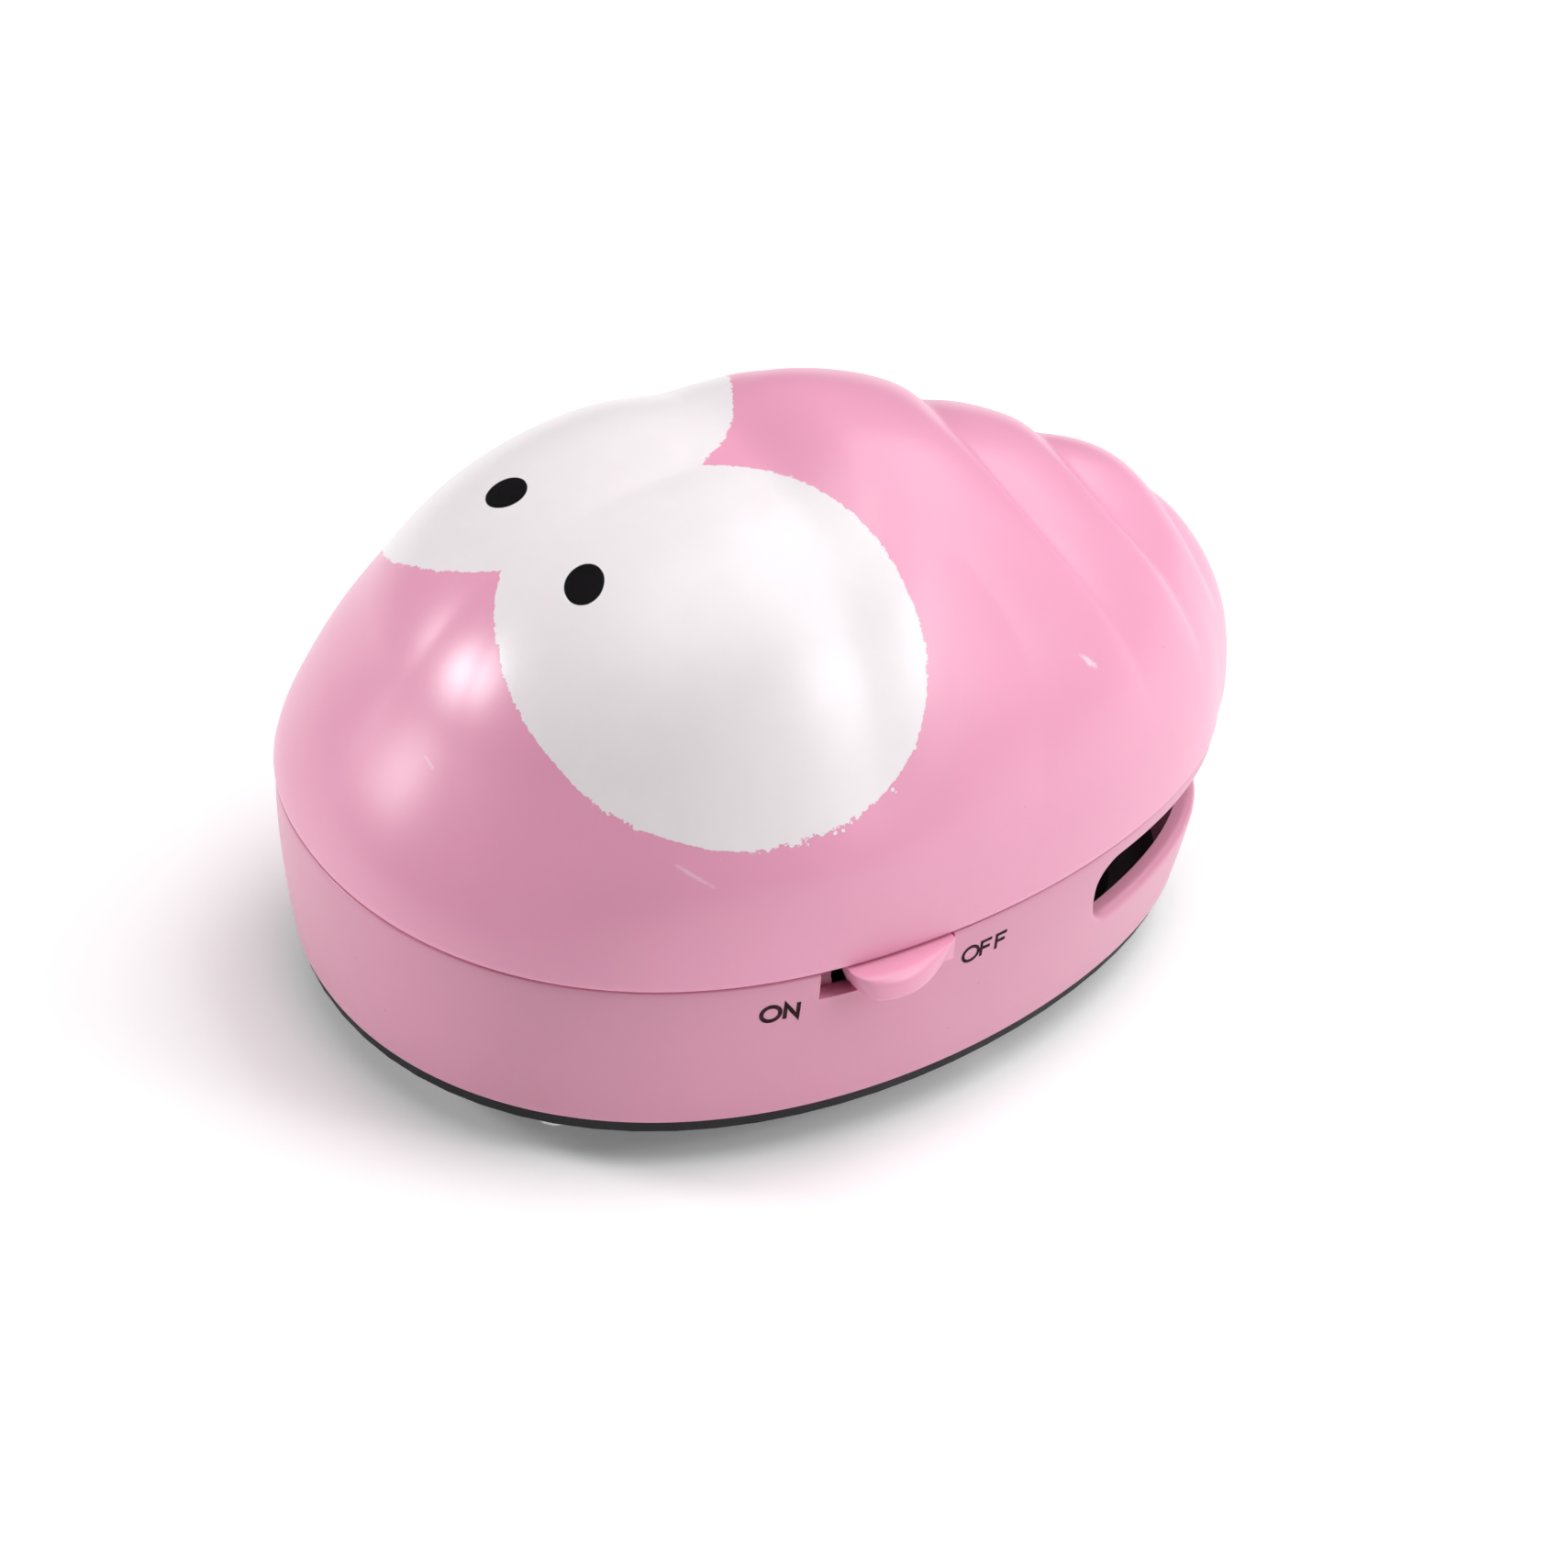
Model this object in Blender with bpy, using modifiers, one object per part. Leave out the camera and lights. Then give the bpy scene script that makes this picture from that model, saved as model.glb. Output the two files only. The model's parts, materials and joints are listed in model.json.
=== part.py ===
"""Battery-powered desktop crumb vacuum in the shape of a big-eyed cartoon creature.

World frame: metres, +Z up, origin under the middle of the footprint, face towards -Y.
All driving dimensions below are in millimetres and are scaled by MM when geometry is made.
"""
import math

import bmesh
import bpy
from mathutils import Vector

MM = 0.001

# Plan outline of the seam between lid and tub (egg-shaped superellipse)
HALF_LENGTH = 54.05
HALF_WIDTH = 38.0
EGG = -0.225            # negative: the face end is the wide one
PLAN_POWER = 2.10
FOOT_SCALE = 0.947      # the tub narrows to this towards the table

AROUND = 64

BODY_SHIFT = (-1.66, -1.19, 0.0)

# Heights
PLATE_Z0, PLATE_Z1, PLATE_INSET = 5.0, 6.2, 0.75
TUB_Z0, TUB_Z1 = 6.5, 25.2
SEAM_Z = 25.37
LID_Z0 = 25.5
TUB_WALL = 2.9
LIP_IN, LIP_OUT, LIP_Z0, LIP_Z1 = 3.8, 2.65, 20.0, 26.8
LID_WALL = 1.6
DECK_Z0, DECK_Z1 = 23.5, 25.1
DECK_INSET = 4.2

# Dome
DOME_H, DOME_MY, DOME_ML, DOME_HW = 44.25, -1.88, 47.75, 0.915
SKIRT_H, SKIRT_H_TAIL, SKIRT_BLEND = 34.45, 10.8, 2.5
TAIL_Y, TAIL_L, TAIL_H, TAIL_W, TAIL_BLEND = 20.5, 32.05, 30.95, 13.55, 8.0
EYE_X, EYE_Y, EYE_Z, EYE_R, EYE_BULGE = 25.6, -14.9, 41.8, 31.8, 1.84
VALLEY, VALLEY_Y, VALLEY_FRONT, VALLEY_REAR, VALLEY_W = 4.4, -7.0, 28.5, 7.5, 14.7
CREASES = ((19.2, 0.025, 14.0, 27.0, 1.6), (33.1, 0.045, 9.0, 20.0, 1.6), (46.4, 0.08, 4.0, 13.0, 1.3))
LID_AROUND, LID_UP = 64, 16
RIM_UPRIGHT = 1.0

# Exhaust slot in the rear wall
SLOT_T0, SLOT_T1 = math.radians(30), math.radians(150)
SLOT_TOP, SLOT_LIP, SLOT_BACK_LOW = 23.3, 13.6, 15.2
SILL_IN = 5.6

# Switch
KNOB_AT = (39.4, -9.9)
KNOB_LEN, KNOB_OUT, KNOB_TRAVEL = 13.4, 3.4, 3.0
WALL_DIR = Vector((-0.101, 0.995, 0.0)).normalized()
WALL_OUT = Vector((0.995, 0.101, 0.0)).normalized()
KNOB_Z0, KNOB_Z1 = 22.7, 25.2

# Suction duct, cells, fan
DUCT_X, DUCT_Y0, DUCT_Y1, DUCT_WALL, DUCT_TOP = 12.0, -42.2, -33.8, 1.2, 34.0
CELL_R, CELL_LEN, NUB_R, NUB_LEN = 7.25, 49.2, 2.7, 1.3
CELL_Y = (-22.8, -7.5)
CELL_Z = 14.2
FAN_Y = 22.4
FAN_R = 17.6
CAN_R, CAN_Z0, CAN_Z1 = 10.2, 18.3, 40.0
DOOR_X, DOOR_Y0, DOOR_Y1 = 28.0, -31.2, 1.3
BOSSES = ((25.2, -36.0), (-25.2, -36.0), (27.7, 14.0), (-27.7, 14.0))
BOSS_R = 3.2
FEET = ((16.0, -34.5), (-16.0, -34.5), (12.0, 36.0), (-12.0, 36.0))
FOOT_R = 2.6
DOOR_PIN_Y = 0.7

for old in list(bpy.data.objects):
    bpy.data.objects.remove(old, do_unlink=True)

parts = bpy.data.collections.new("desktop_vacuum")
cutters = bpy.data.collections.new("cutters")
bpy.context.scene.collection.children.link(parts)
bpy.context.scene.collection.children.link(cutters)


def material(name, colour, rough, metal=0.0):
    mat = bpy.data.materials.new(name)
    mat.use_nodes = True
    shader = mat.node_tree.nodes["Principled BSDF"]
    shader.inputs["Base Color"].default_value = (*colour, 1.0)
    shader.inputs["Roughness"].default_value = rough
    shader.inputs["Metallic"].default_value = metal
    return mat


def finish(obj, mat, smooth=True):
    """Put an object in the part collection with its own copy of a material."""
    parts.objects.link(obj)
    own = mat.copy()
    own.name = obj.name + "_" + mat.name
    obj.data.materials.append(own)
    if smooth and obj.type == "MESH":
        for poly in obj.data.polygons:
            poly.use_smooth = True
    return obj


def cutter(obj):
    cutters.objects.link(obj)
    obj.hide_render = True
    obj.display_type = "WIRE"
    return obj


def mesh_object(name, bm):
    bmesh.ops.recalc_face_normals(bm, faces=bm.faces)
    mesh = bpy.data.meshes.new(name)
    bm.to_mesh(mesh)
    bm.free()
    return bpy.data.objects.new(name, mesh)


def boolean(obj, other, operation):
    mod = obj.modifiers.new(operation.lower() + "_" + other.name, "BOOLEAN")
    mod.operation = operation
    mod.solver = "EXACT"
    mod.object = other


def box(name, x0, x1, y0, y1, z0, z1):
    bm = bmesh.new()
    bmesh.ops.create_cube(bm, size=1.0)
    for vert in bm.verts:
        vert.co = Vector((
            (x0 + (x1 - x0) * (vert.co.x + 0.5)) * MM,
            (y0 + (y1 - y0) * (vert.co.y + 0.5)) * MM,
            (z0 + (z1 - z0) * (vert.co.z + 0.5)) * MM,
        ))
    return mesh_object(name, bm)


def cylinder(name, radius, x, y, z0, z1, segments=32):
    bm = bmesh.new()
    bmesh.ops.create_cone(
        bm, cap_ends=True, segments=segments, radius1=radius * MM, radius2=radius * MM,
        depth=(z1 - z0) * MM)
    bmesh.ops.translate(bm, verts=bm.verts, vec=(x * MM, y * MM, (z0 + z1) / 2 * MM))
    return mesh_object(name, bm)


def turned(name, profile, steps=32, closed=False):
    """Solid of revolution about local Z from (radius, height) points."""
    bm = bmesh.new()
    verts = [bm.verts.new((r * MM, 0.0, z * MM)) for r, z in profile]
    for a, b in zip(verts, verts[1:]):
        bm.edges.new((a, b))
    if closed:
        bm.edges.new((verts[-1], verts[0]))
    mesh = bpy.data.meshes.new(name)
    bm.to_mesh(mesh)
    bm.free()
    obj = bpy.data.objects.new(name, mesh)
    mod = obj.modifiers.new("turn", "SCREW")
    mod.axis = "Z"
    mod.steps = steps
    mod.render_steps = steps
    mod.use_merge_vertices = True
    mod.merge_threshold = 0.00001
    return obj


def prism(name, loops, z0, z1):
    """Flat outline with optional holes, extruded between two heights."""
    curve = bpy.data.curves.new(name, "CURVE")
    curve.dimensions = "2D"
    curve.fill_mode = "BOTH"
    curve.extrude = (z1 - z0) / 2 * MM
    for loop in loops:
        spline = curve.splines.new("POLY")
        spline.points.add(len(loop) - 1)
        for point, (x, y) in zip(spline.points, loop):
            point.co = (x * MM, y * MM, 0.0, 1.0)
        spline.use_cyclic_u = True
    raw = bpy.data.objects.new(name + "_outline", curve)
    bpy.context.scene.collection.objects.link(raw)
    bpy.context.view_layer.update()
    mesh = bpy.data.meshes.new_from_object(raw.evaluated_get(bpy.context.evaluated_depsgraph_get()))
    bpy.data.objects.remove(raw, do_unlink=True)
    bm = bmesh.new()
    bm.from_mesh(mesh)
    bmesh.ops.remove_doubles(bm, verts=bm.verts, dist=0.000002)
    bmesh.ops.translate(bm, verts=bm.verts, vec=(0, 0, (z0 + z1) / 2 * MM))
    return mesh_object(name, bm)


def plan_point(t, scale=1.0, inset=0.0):
    """Point of the seam outline, scaled about the middle and moved inwards along its normal."""
    def raw(a):
        c, s = math.cos(a), math.sin(a)
        x = HALF_WIDTH * math.copysign(abs(c) ** (2 / PLAN_POWER), c) * (1 + EGG * s)
        return x * scale, HALF_LENGTH * s * scale
    x, y = raw(t)
    x0, y0 = raw(t - 0.01)
    x1, y1 = raw(t + 0.01)
    dx, dy = x1 - x0, y1 - y0
    size = math.hypot(dx, dy)
    return x - inset * dy / size, y + inset * dx / size


def plan_loop(count, scale=1.0, inset=0.0):
    return [plan_point(2 * math.pi * (i + 0.5) / count, scale, inset) for i in range(count)]


def tub_scale(z):
    return FOOT_SCALE + (1 - FOOT_SCALE) * (z - TUB_Z0) / (TUB_Z1 - TUB_Z0)


def round_loop(x, y, radius, count=32):
    return [(x + radius * math.cos(2 * math.pi * (i + 0.3) / count), y + radius * math.sin(2 * math.pi * (i + 0.3) / count))
            for i in range(count)]


def rect_loop(x0, x1, y0, y1):
    return [(x0, y0), (x1, y0), (x1, y1), (x0, y1)]


def loft(name, rows, wrap, cap):
    """Skin over rows of points; wrap closes the rows, cap closes the two end rows."""
    bm = bmesh.new()
    grid = [[bm.verts.new((x * MM, y * MM, z * MM)) for x, y, z in row] for row in rows]
    for r0, r1 in zip(grid, grid[1:]):
        count = len(r0) if wrap else len(r0) - 1
        for i in range(count):
            j = (i + 1) % len(r0)
            bm.faces.new((r0[i], r0[j], r1[j], r1[i]))
    if cap:
        bm.faces.new(grid[0])
        bm.faces.new(list(reversed(grid[-1])))
    return mesh_object(name, bm)


def band(name, t0, t1, section, count=26, taper=False):
    """Closed section of (inset, z) points swept along the tub wall between two plan angles."""
    rows = []
    for k in range(count + 1):
        u = -1 + 2 * k / count
        t = t0 + (t1 - t0) * (k / count)
        squeeze = (1 - abs(u) ** 10) ** 0.5 if taper else 1.0
        squeeze = max(squeeze, 0.12)
        row = []
        for inset, z in section:
            zz = SLOT_TOP - 1.6 + (z - SLOT_TOP + 1.6) * squeeze if taper else z
            x, y = plan_point(t, tub_scale(zz), inset)
            row.append((x, y, zz))
        rows.append(row)
    return loft(name, rows, True, True)


# ---------------------------------------------------------------- lid dome
def soft_min(a, b, k):
    h = min(max(0.5 + 0.5 * (b - a) / k, 0.0), 1.0)
    return b + (a - b) * h - k * h * (1 - h)


def egg_field(x, y, z):
    w = 1 + EGG * y / HALF_LENGTH
    rise = SKIRT_H + SKIRT_H_TAIL * y / HALF_LENGTH

    def plan(px, py, rx, ry, power):
        return (abs(px / rx) ** power + abs(py / ry) ** power) ** (2 / power)

    skirt = (math.sqrt(plan(x / w, y, HALF_WIDTH, HALF_LENGTH, PLAN_POWER) + (z / rise) ** 2) - 1) * 22
    head = (math.sqrt(plan(x / w, y - DOME_MY, HALF_WIDTH * DOME_HW, DOME_ML, PLAN_POWER)
                      + (z / DOME_H) ** 2) - 1) * 30
    tail = (math.sqrt((x / TAIL_W) ** 2 + ((y - TAIL_Y) / TAIL_L) ** 2 + (z / TAIL_H) ** 2) - 1) * 28
    return soft_min(soft_min(skirt, head, SKIRT_BLEND), tail, TAIL_BLEND)


def fade(a, b, x):
    t = min(max((x - a) / (b - a), 0.0), 1.0)
    return t * t * (3 - 2 * t)


def relief(x, y, z):
    """Eye bulges, tail creases and the valley between the eyes, measured outwards from the plain egg."""
    d2 = ((abs(x) - EYE_X) ** 2 + (y - EYE_Y) ** 2 + (z - EYE_Z) ** 2) / EYE_R ** 2
    near = max(1 - d2, 0.0)
    out = EYE_BULGE * near * (0.35 + 0.65 * near ** 0.3)
    for y0, sweep, side0, side1, depth in CREASES:
        c = y0 + sweep * x * x
        reach = 3.0 if y < c else 5.5
        v = math.exp(-(math.sqrt((y - c) ** 2 + 0.16) - 0.4) / reach)
        out -= depth * v * (1 - fade(side0, side1, abs(x))) * fade(33.0, 45.0, z)
    reach = VALLEY_FRONT if y < VALLEY_Y else VALLEY_REAR
    soft = 0.8 + 9 * fade(-15.0, -4.0, y)
    across = math.exp(-(math.sqrt(x * x + soft * soft) - soft) / VALLEY_W)
    dip = VALLEY * math.exp(-((y - VALLEY_Y) / reach) ** 2) * across * fade(33.0, 45.0, z)
    return out * fade(26.0, 38.0, z) - dip


def dome_point(turn, lift):
    dx, dy, dz = math.cos(turn) * math.cos(lift), math.sin(turn) * math.cos(lift), math.sin(lift)
    low, high = 5.0, 90.0
    for _ in range(26):
        mid = (low + high) / 2
        if egg_field(dx * mid, dy * mid, dz * mid) < 0:
            low = mid
        else:
            high = mid
    r = low + relief(dx * low, dy * low, SEAM_Z + dz * low)
    return dx * r, dy * r, LID_Z0 + dz * r


def dome_rows():
    """Rows from the seam upwards; the lowest millimetre stands upright so the rim is level."""
    rim = [dome_point(2 * math.pi * i / LID_AROUND, 0.0) for i in range(LID_AROUND)]
    rows = [rim, [(x, y, z + RIM_UPRIGHT) for x, y, z in rim]]
    for j in range(1, LID_UP):
        lift = math.pi / 2 * (j / LID_UP)
        rows.append([dome_point(2 * math.pi * i / LID_AROUND, lift) for i in range(LID_AROUND)])
    return rows


pink = material("pink_abs", (0.80, 0.36, 0.50), 0.22)
tub_pink = material("pink_abs_tub", (0.78, 0.40, 0.52), 0.28)
white = material("white_abs", (0.82, 0.82, 0.80), 0.35)
black = material("black_abs", (0.02, 0.02, 0.022), 0.45)
steel = material("steel", (0.55, 0.56, 0.58), 0.30, 1.0)
brass = material("brass", (0.75, 0.58, 0.28), 0.30, 1.0)
nylon = material("nylon", (0.05, 0.05, 0.055), 0.60)
rubber = material("rubber", (0.03, 0.03, 0.03), 0.80)
cloth = material("filter_cloth", (0.88, 0.88, 0.86), 0.90)
cell_skin = material("cell_sleeve", (0.10, 0.22, 0.16), 0.35)


def build_lid():
    bm = bmesh.new()
    grid = [[bm.verts.new(Vector(p) * MM) for p in row] for row in dome_rows()]
    for r0, r1 in zip(grid, grid[1:]):
        for i in range(LID_AROUND):
            j = (i + 1) % LID_AROUND
            bm.faces.new((r0[i], r0[j], r1[j], r1[i]))
    crown = bm.verts.new(Vector(dome_point(0.0, math.pi / 2)) * MM)
    for i in range(LID_AROUND):
        bm.faces.new((grid[-1][i], grid[-1][(i + 1) % LID_AROUND], crown))
    obj = mesh_object("top_shell", bm)
    mod = obj.modifiers.new("wall", "SOLIDIFY")
    mod.thickness = LID_WALL * MM
    mod.offset = -1
    mod.use_rim = True
    finish(obj, pink)


def build_tub():
    heights = [TUB_Z0 + (TUB_Z1 - TUB_Z0) * k / 2 for k in range(3)]
    rows = [[(*xy, z) for xy in plan_loop(AROUND, tub_scale(z))] for z in heights]
    tub = loft("base_shell", rows, True, False)
    mod = tub.modifiers.new("wall", "SOLIDIFY")
    mod.thickness = TUB_WALL * MM
    mod.offset = -1
    lip_rows = []
    for inset, z in ((LIP_OUT, LIP_Z0), (LIP_OUT, LIP_Z1), (LIP_IN, LIP_Z1), (LIP_IN, LIP_Z0), (LIP_OUT, LIP_Z0)):
        lip_rows.append([(*xy, z) for xy in plan_loop(AROUND, tub_scale(min(z, TUB_Z1)), inset)])
    lip = cutter(loft("tub_lip", lip_rows[:4] + [lip_rows[0]], True, False))
    weld = bmesh.new()
    weld.from_mesh(lip.data)
    bmesh.ops.remove_doubles(weld, verts=weld.verts, dist=0.00001)
    weld.to_mesh(lip.data)
    weld.free()
    boolean(tub, lip, "UNION")
    sill = cutter(band("slot_sill", SLOT_T0 - 0.06, SLOT_T1 + 0.06,
                       ((1.2, 12.4), (SILL_IN, 14.0), (SILL_IN, 18.0), (1.2, 18.0))))
    boolean(tub, sill, "UNION")
    for k, (x, y) in enumerate(BOSSES):
        boss = cutter(cylinder("boss_%d" % k, BOSS_R, x, y, TUB_Z0 + 0.4, DECK_Z0 - 0.3, 20))
        boolean(tub, boss, "UNION")
    for k, (x, y) in enumerate(BOSSES):
        bore = cutter(cylinder("boss_bore_%d" % k, 1.2, x, y, TUB_Z0 - 1, DECK_Z0 + 1, 16))
        boolean(tub, bore, "DIFFERENCE")
    scoop = cutter(band("slot_scoop", SLOT_T0, SLOT_T1,
                        ((-3.0, SLOT_LIP), (3.0, SLOT_BACK_LOW), (SILL_IN + 1.5, SLOT_BACK_LOW),
                         (SILL_IN + 1.5, SLOT_TOP), (-3.0, SLOT_TOP)),
                        taper=True))
    boolean(tub, scoop, "DIFFERENCE")
    start = Vector((*KNOB_AT, 0.0)) - WALL_DIR * (KNOB_TRAVEL + 0.35)
    end = Vector((*KNOB_AT, 0.0)) + WALL_DIR * (KNOB_LEN + 0.35)
    corners = [start + WALL_OUT * 4, end + WALL_OUT * 4, end - WALL_OUT * 8, start - WALL_OUT * 8]
    notch = cutter(prism("knob_notch", [[(c.x, c.y) for c in corners]], KNOB_Z0 - 0.35, KNOB_Z1 + 0.3))
    boolean(tub, notch, "DIFFERENCE")
    finish(tub, tub_pink)


def build_plate():
    loops = [
        plan_loop(AROUND, FOOT_SCALE, PLATE_INSET),
        rect_loop(-DOOR_X - 0.3, DOOR_X + 0.3, DOOR_Y0 - 0.3, DOOR_Y1 + 0.3),
        rect_loop(-DUCT_X - 0.3, DUCT_X + 0.3, DUCT_Y0 - 0.3, DUCT_Y1 + 0.3),
    ]
    loops += [round_loop(x, y, 1.3, 16) for x, y in BOSSES]
    plate = prism("base_plate", loops, PLATE_Z0, PLATE_Z1)
    for k, (x, y) in enumerate(FEET):
        boolean(plate, cutter(cylinder("foot_post_%d" % k, FOOT_R, x, y, 1.4, PLATE_Z0 + 0.6, 24)), "UNION")
        pad = cylinder("foot_pad_%d" % (k + 1), FOOT_R, 0, 0, -0.55, 0.55, 24)
        pad.location = (x * MM, y * MM, 0.55 * MM)
        finish(pad, rubber, False)
    finish(plate, black, False)


def build_door():
    door = box("battery_door", -DOOR_X, DOOR_X, DOOR_Y0 - DOOR_PIN_Y, DOOR_Y1 - DOOR_PIN_Y, -0.6, 0.6)
    door.location = (0.0, DOOR_PIN_Y * MM, (PLATE_Z0 + PLATE_Z1) / 2 * MM)
    tab = cutter(box("door_thumb_groove", -6, 6, DOOR_Y0 - DOOR_PIN_Y + 2.5, DOOR_Y0 - DOOR_PIN_Y + 4.5, -1.0, -0.15))
    tab.parent = door
    boolean(door, tab, "DIFFERENCE")
    finish(door, black, False)


def build_deck():
    hub_r, sleeve_r, intake_r = CAN_R + 0.3, CAN_R + 1.7, 17.5
    loops = [plan_loop(AROUND, tub_scale(DECK_Z0), DECK_INSET),
             rect_loop(-DUCT_X - 0.3, DUCT_X + 0.3, DUCT_Y0 - 0.3, DUCT_Y1 + 0.3),
             round_loop(0, FAN_Y, intake_r, 48)]
    loops += [round_loop(x, y, 1.2, 16) for x, y in BOSSES]
    deck = prism("inner_deck", loops, DECK_Z0, DECK_Z1)
    recess = cutter(box("deck_switch_recess", 29.9, 45, -15.0, 6.0, DECK_Z0 - 1, DECK_Z1 + 1))
    boolean(deck, recess, "DIFFERENCE")
    for k in range(4):
        a = math.pi / 4 + k * math.pi / 2
        spoke = cutter(box("deck_spoke_%d" % k, sleeve_r - 0.8, intake_r + 1.0, -1.2, 1.2, DECK_Z0 + 0.2, DECK_Z1 - 0.2))
        spoke.rotation_euler = (0, 0, a)
        spoke.location = (0, FAN_Y * MM, 0)
        boolean(deck, spoke, "UNION")
    sleeve = cutter(prism("deck_sleeve", [round_loop(0, 0, sleeve_r, 40), round_loop(0, 0, hub_r, 40)], 20.5, 31.0))
    sleeve.location = (0, FAN_Y * MM, 0)
    boolean(deck, sleeve, "UNION")
    for side in (-1, 1):
        x0, x1 = sorted((side * 28.4, side * 29.6))
        rib = cutter(box("deck_cell_rib_%s" % ("left" if side > 0 else "right"), x0, x1, -30.2, -0.2, 8.0, DECK_Z0 + 0.6))
        boolean(deck, rib, "UNION")
    finish(deck, white, False)


def build_duct():
    outer = rect_loop(-DUCT_X, DUCT_X, DUCT_Y0, DUCT_Y1)
    inner = rect_loop(-DUCT_X + DUCT_WALL, DUCT_X - DUCT_WALL, DUCT_Y0 + DUCT_WALL, DUCT_Y1 - DUCT_WALL)
    finish(prism("suction_duct", [outer, inner], PLATE_Z0 + 0.1, DUCT_TOP), white, False)


def build_brush(name, y):
    """Comb of stiff tufts on a backing strip, drawn as one outline in X-Z."""
    top, root, tip = 4.7, 2.9, 0.3
    half, pitch, tuft = 10.5, 1.5, 0.85
    outline = [(-half, top), (-half, root)]
    count = int(2 * half / pitch)
    x = -count * pitch / 2
    for _ in range(count):
        outline += [(x + 0.2, root), (x + 0.2, tip), (x + 0.2 + tuft, tip), (x + 0.2 + tuft, root)]
        x += pitch
    outline += [(half, root), (half, top)]
    brush = prism(name, [outline], -1.0, 1.0)
    brush.rotation_euler = (math.pi / 2, 0, 0)
    brush.location = (0, y * MM, 0)
    finish(brush, nylon, False)


def build_cells():
    half = CELL_LEN / 2
    total = CELL_LEN + NUB_LEN
    for k, y in enumerate(CELL_Y):
        side = 1 if k == 0 else -1
        cell = turned("battery_%d" % (k + 1), [
            (0, half + NUB_LEN), (NUB_R, half + NUB_LEN), (NUB_R, half), (CELL_R - 0.6, half),
            (CELL_R, half - 0.6), (CELL_R, -half + 0.6), (CELL_R - 0.6, -half), (0, -half)], 24)
        cell.location = (-side * NUB_LEN / 2 * MM, y * MM, CELL_Z * MM)
        cell.rotation_euler = (0, side * math.pi / 2, 0)
        finish(cell, cell_skin)
        spring_x = -side * (total / 2 + 0.35)
        coil = bpy.data.curves.new("contact_spring_%d" % (k + 1), "CURVE")
        coil.dimensions = "3D"
        coil.bevel_depth = 0.25 * MM
        coil.bevel_resolution = 2
        coil.use_fill_caps = True
        spline = coil.splines.new("POLY")
        turns, per_turn = 2.0, 12
        steps = int(turns * per_turn)
        spline.points.add(steps)
        for i in range(steps + 1):
            a = 2 * math.pi * i / per_turn
            r = 2.2 + 1.0 * i / steps
            spline.points[i].co = (
                (-side * 1.55 * i / steps) * MM, r * math.cos(a) * MM, r * math.sin(a) * MM, 1.0)
        spring = bpy.data.objects.new("contact_spring_%d" % (k + 1), coil)
        spring.location = (spring_x * MM, y * MM, CELL_Z * MM)
        finish(spring, steel)
    plates = (("contact_link", 27.8, -26.5, -4.0), ("contact_minus", -28.1, -26.5, -19.0),
              ("contact_plus", -28.1, -11.2, -4.0))
    for name, x0, y0, y1 in plates:
        finish(box(name, x0, x0 + 0.35, y0, y1, 9.0, 19.5), steel, False)


def build_fan():
    top, low = 16.4, 9.6
    blades = []
    count = 8
    for k in range(count):
        a0 = 2 * math.pi * k / count
        for r, turn, half in ((4.2, 0.0, 0.20), (8.0, -0.16, 0.075), (12.5, -0.42, 0.05), (FAN_R - 0.3, -0.78, 0.035)):
            blades.append((r, a0 + turn - half))
        for r, turn, half in ((FAN_R - 0.3, -0.78, 0.035), (12.5, -0.42, 0.05), (8.0, -0.16, 0.075), (4.2, 0.0, 0.20)):
            blades.append((r, a0 + turn + half))
    outline = [(r * math.cos(a), r * math.sin(a)) for r, a in blades]
    wheel = prism("impeller", [outline, round_loop(0, 0, 1.15, 24)], low - 0.3, top)
    disc = cutter(prism("impeller_disc", [round_loop(0, 0, FAN_R, 40), round_loop(0, 0, 1.15, 24)], 8.6, low))
    disc.parent = wheel
    boolean(wheel, disc, "UNION")
    wheel.location = (0, FAN_Y * MM, 0)
    finish(wheel, white, False)
    shaft = cylinder("motor_shaft", 1.0, 0, 0, 8.9, 39.0, 20)
    shaft.location = (0, FAN_Y * MM, 0)
    finish(shaft, steel)
    can = turned("motor_can", [(1.4, CAN_Z1), (CAN_R - 0.5, CAN_Z1), (CAN_R, CAN_Z1 - 0.5), (CAN_R, CAN_Z0 + 0.8),
                               (CAN_R - 0.8, CAN_Z0), (1.4, CAN_Z0)], 40, closed=True)
    can.location = (0, FAN_Y * MM, 0)
    finish(can, steel)
    cap = turned("motor_end_cap", [(0, 42.8), (7.5, 42.8), (9.6, 42.0), (9.6, CAN_Z1 + 0.3), (0, CAN_Z1 + 0.3)], 32)
    cap.location = (0, FAN_Y * MM, 0)
    finish(cap, black)
    for k, side in enumerate((-1, 1)):
        finish(box("motor_terminal_%d" % (k + 1), side * 6.0 - 1.0, side * 6.0 + 1.0, FAN_Y - 0.2, FAN_Y + 0.2, 43.1, 46.3),
               brass, False)
    scroll = turned("fan_housing", [(13.0, 18.0), (20.2, 18.0), (20.2, 6.6), (18.8, 6.6), (18.8, 17.0), (13.0, 17.0)],
                    40, closed=True)
    scroll.location = (0, FAN_Y * MM, 0)
    outlet = cutter(box("fan_outlet_cut", -12.5, 12.5, 8, 30, 5.0, 16.9))
    outlet.parent = scroll
    boolean(scroll, outlet, "DIFFERENCE")
    finish(scroll, black)


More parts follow.
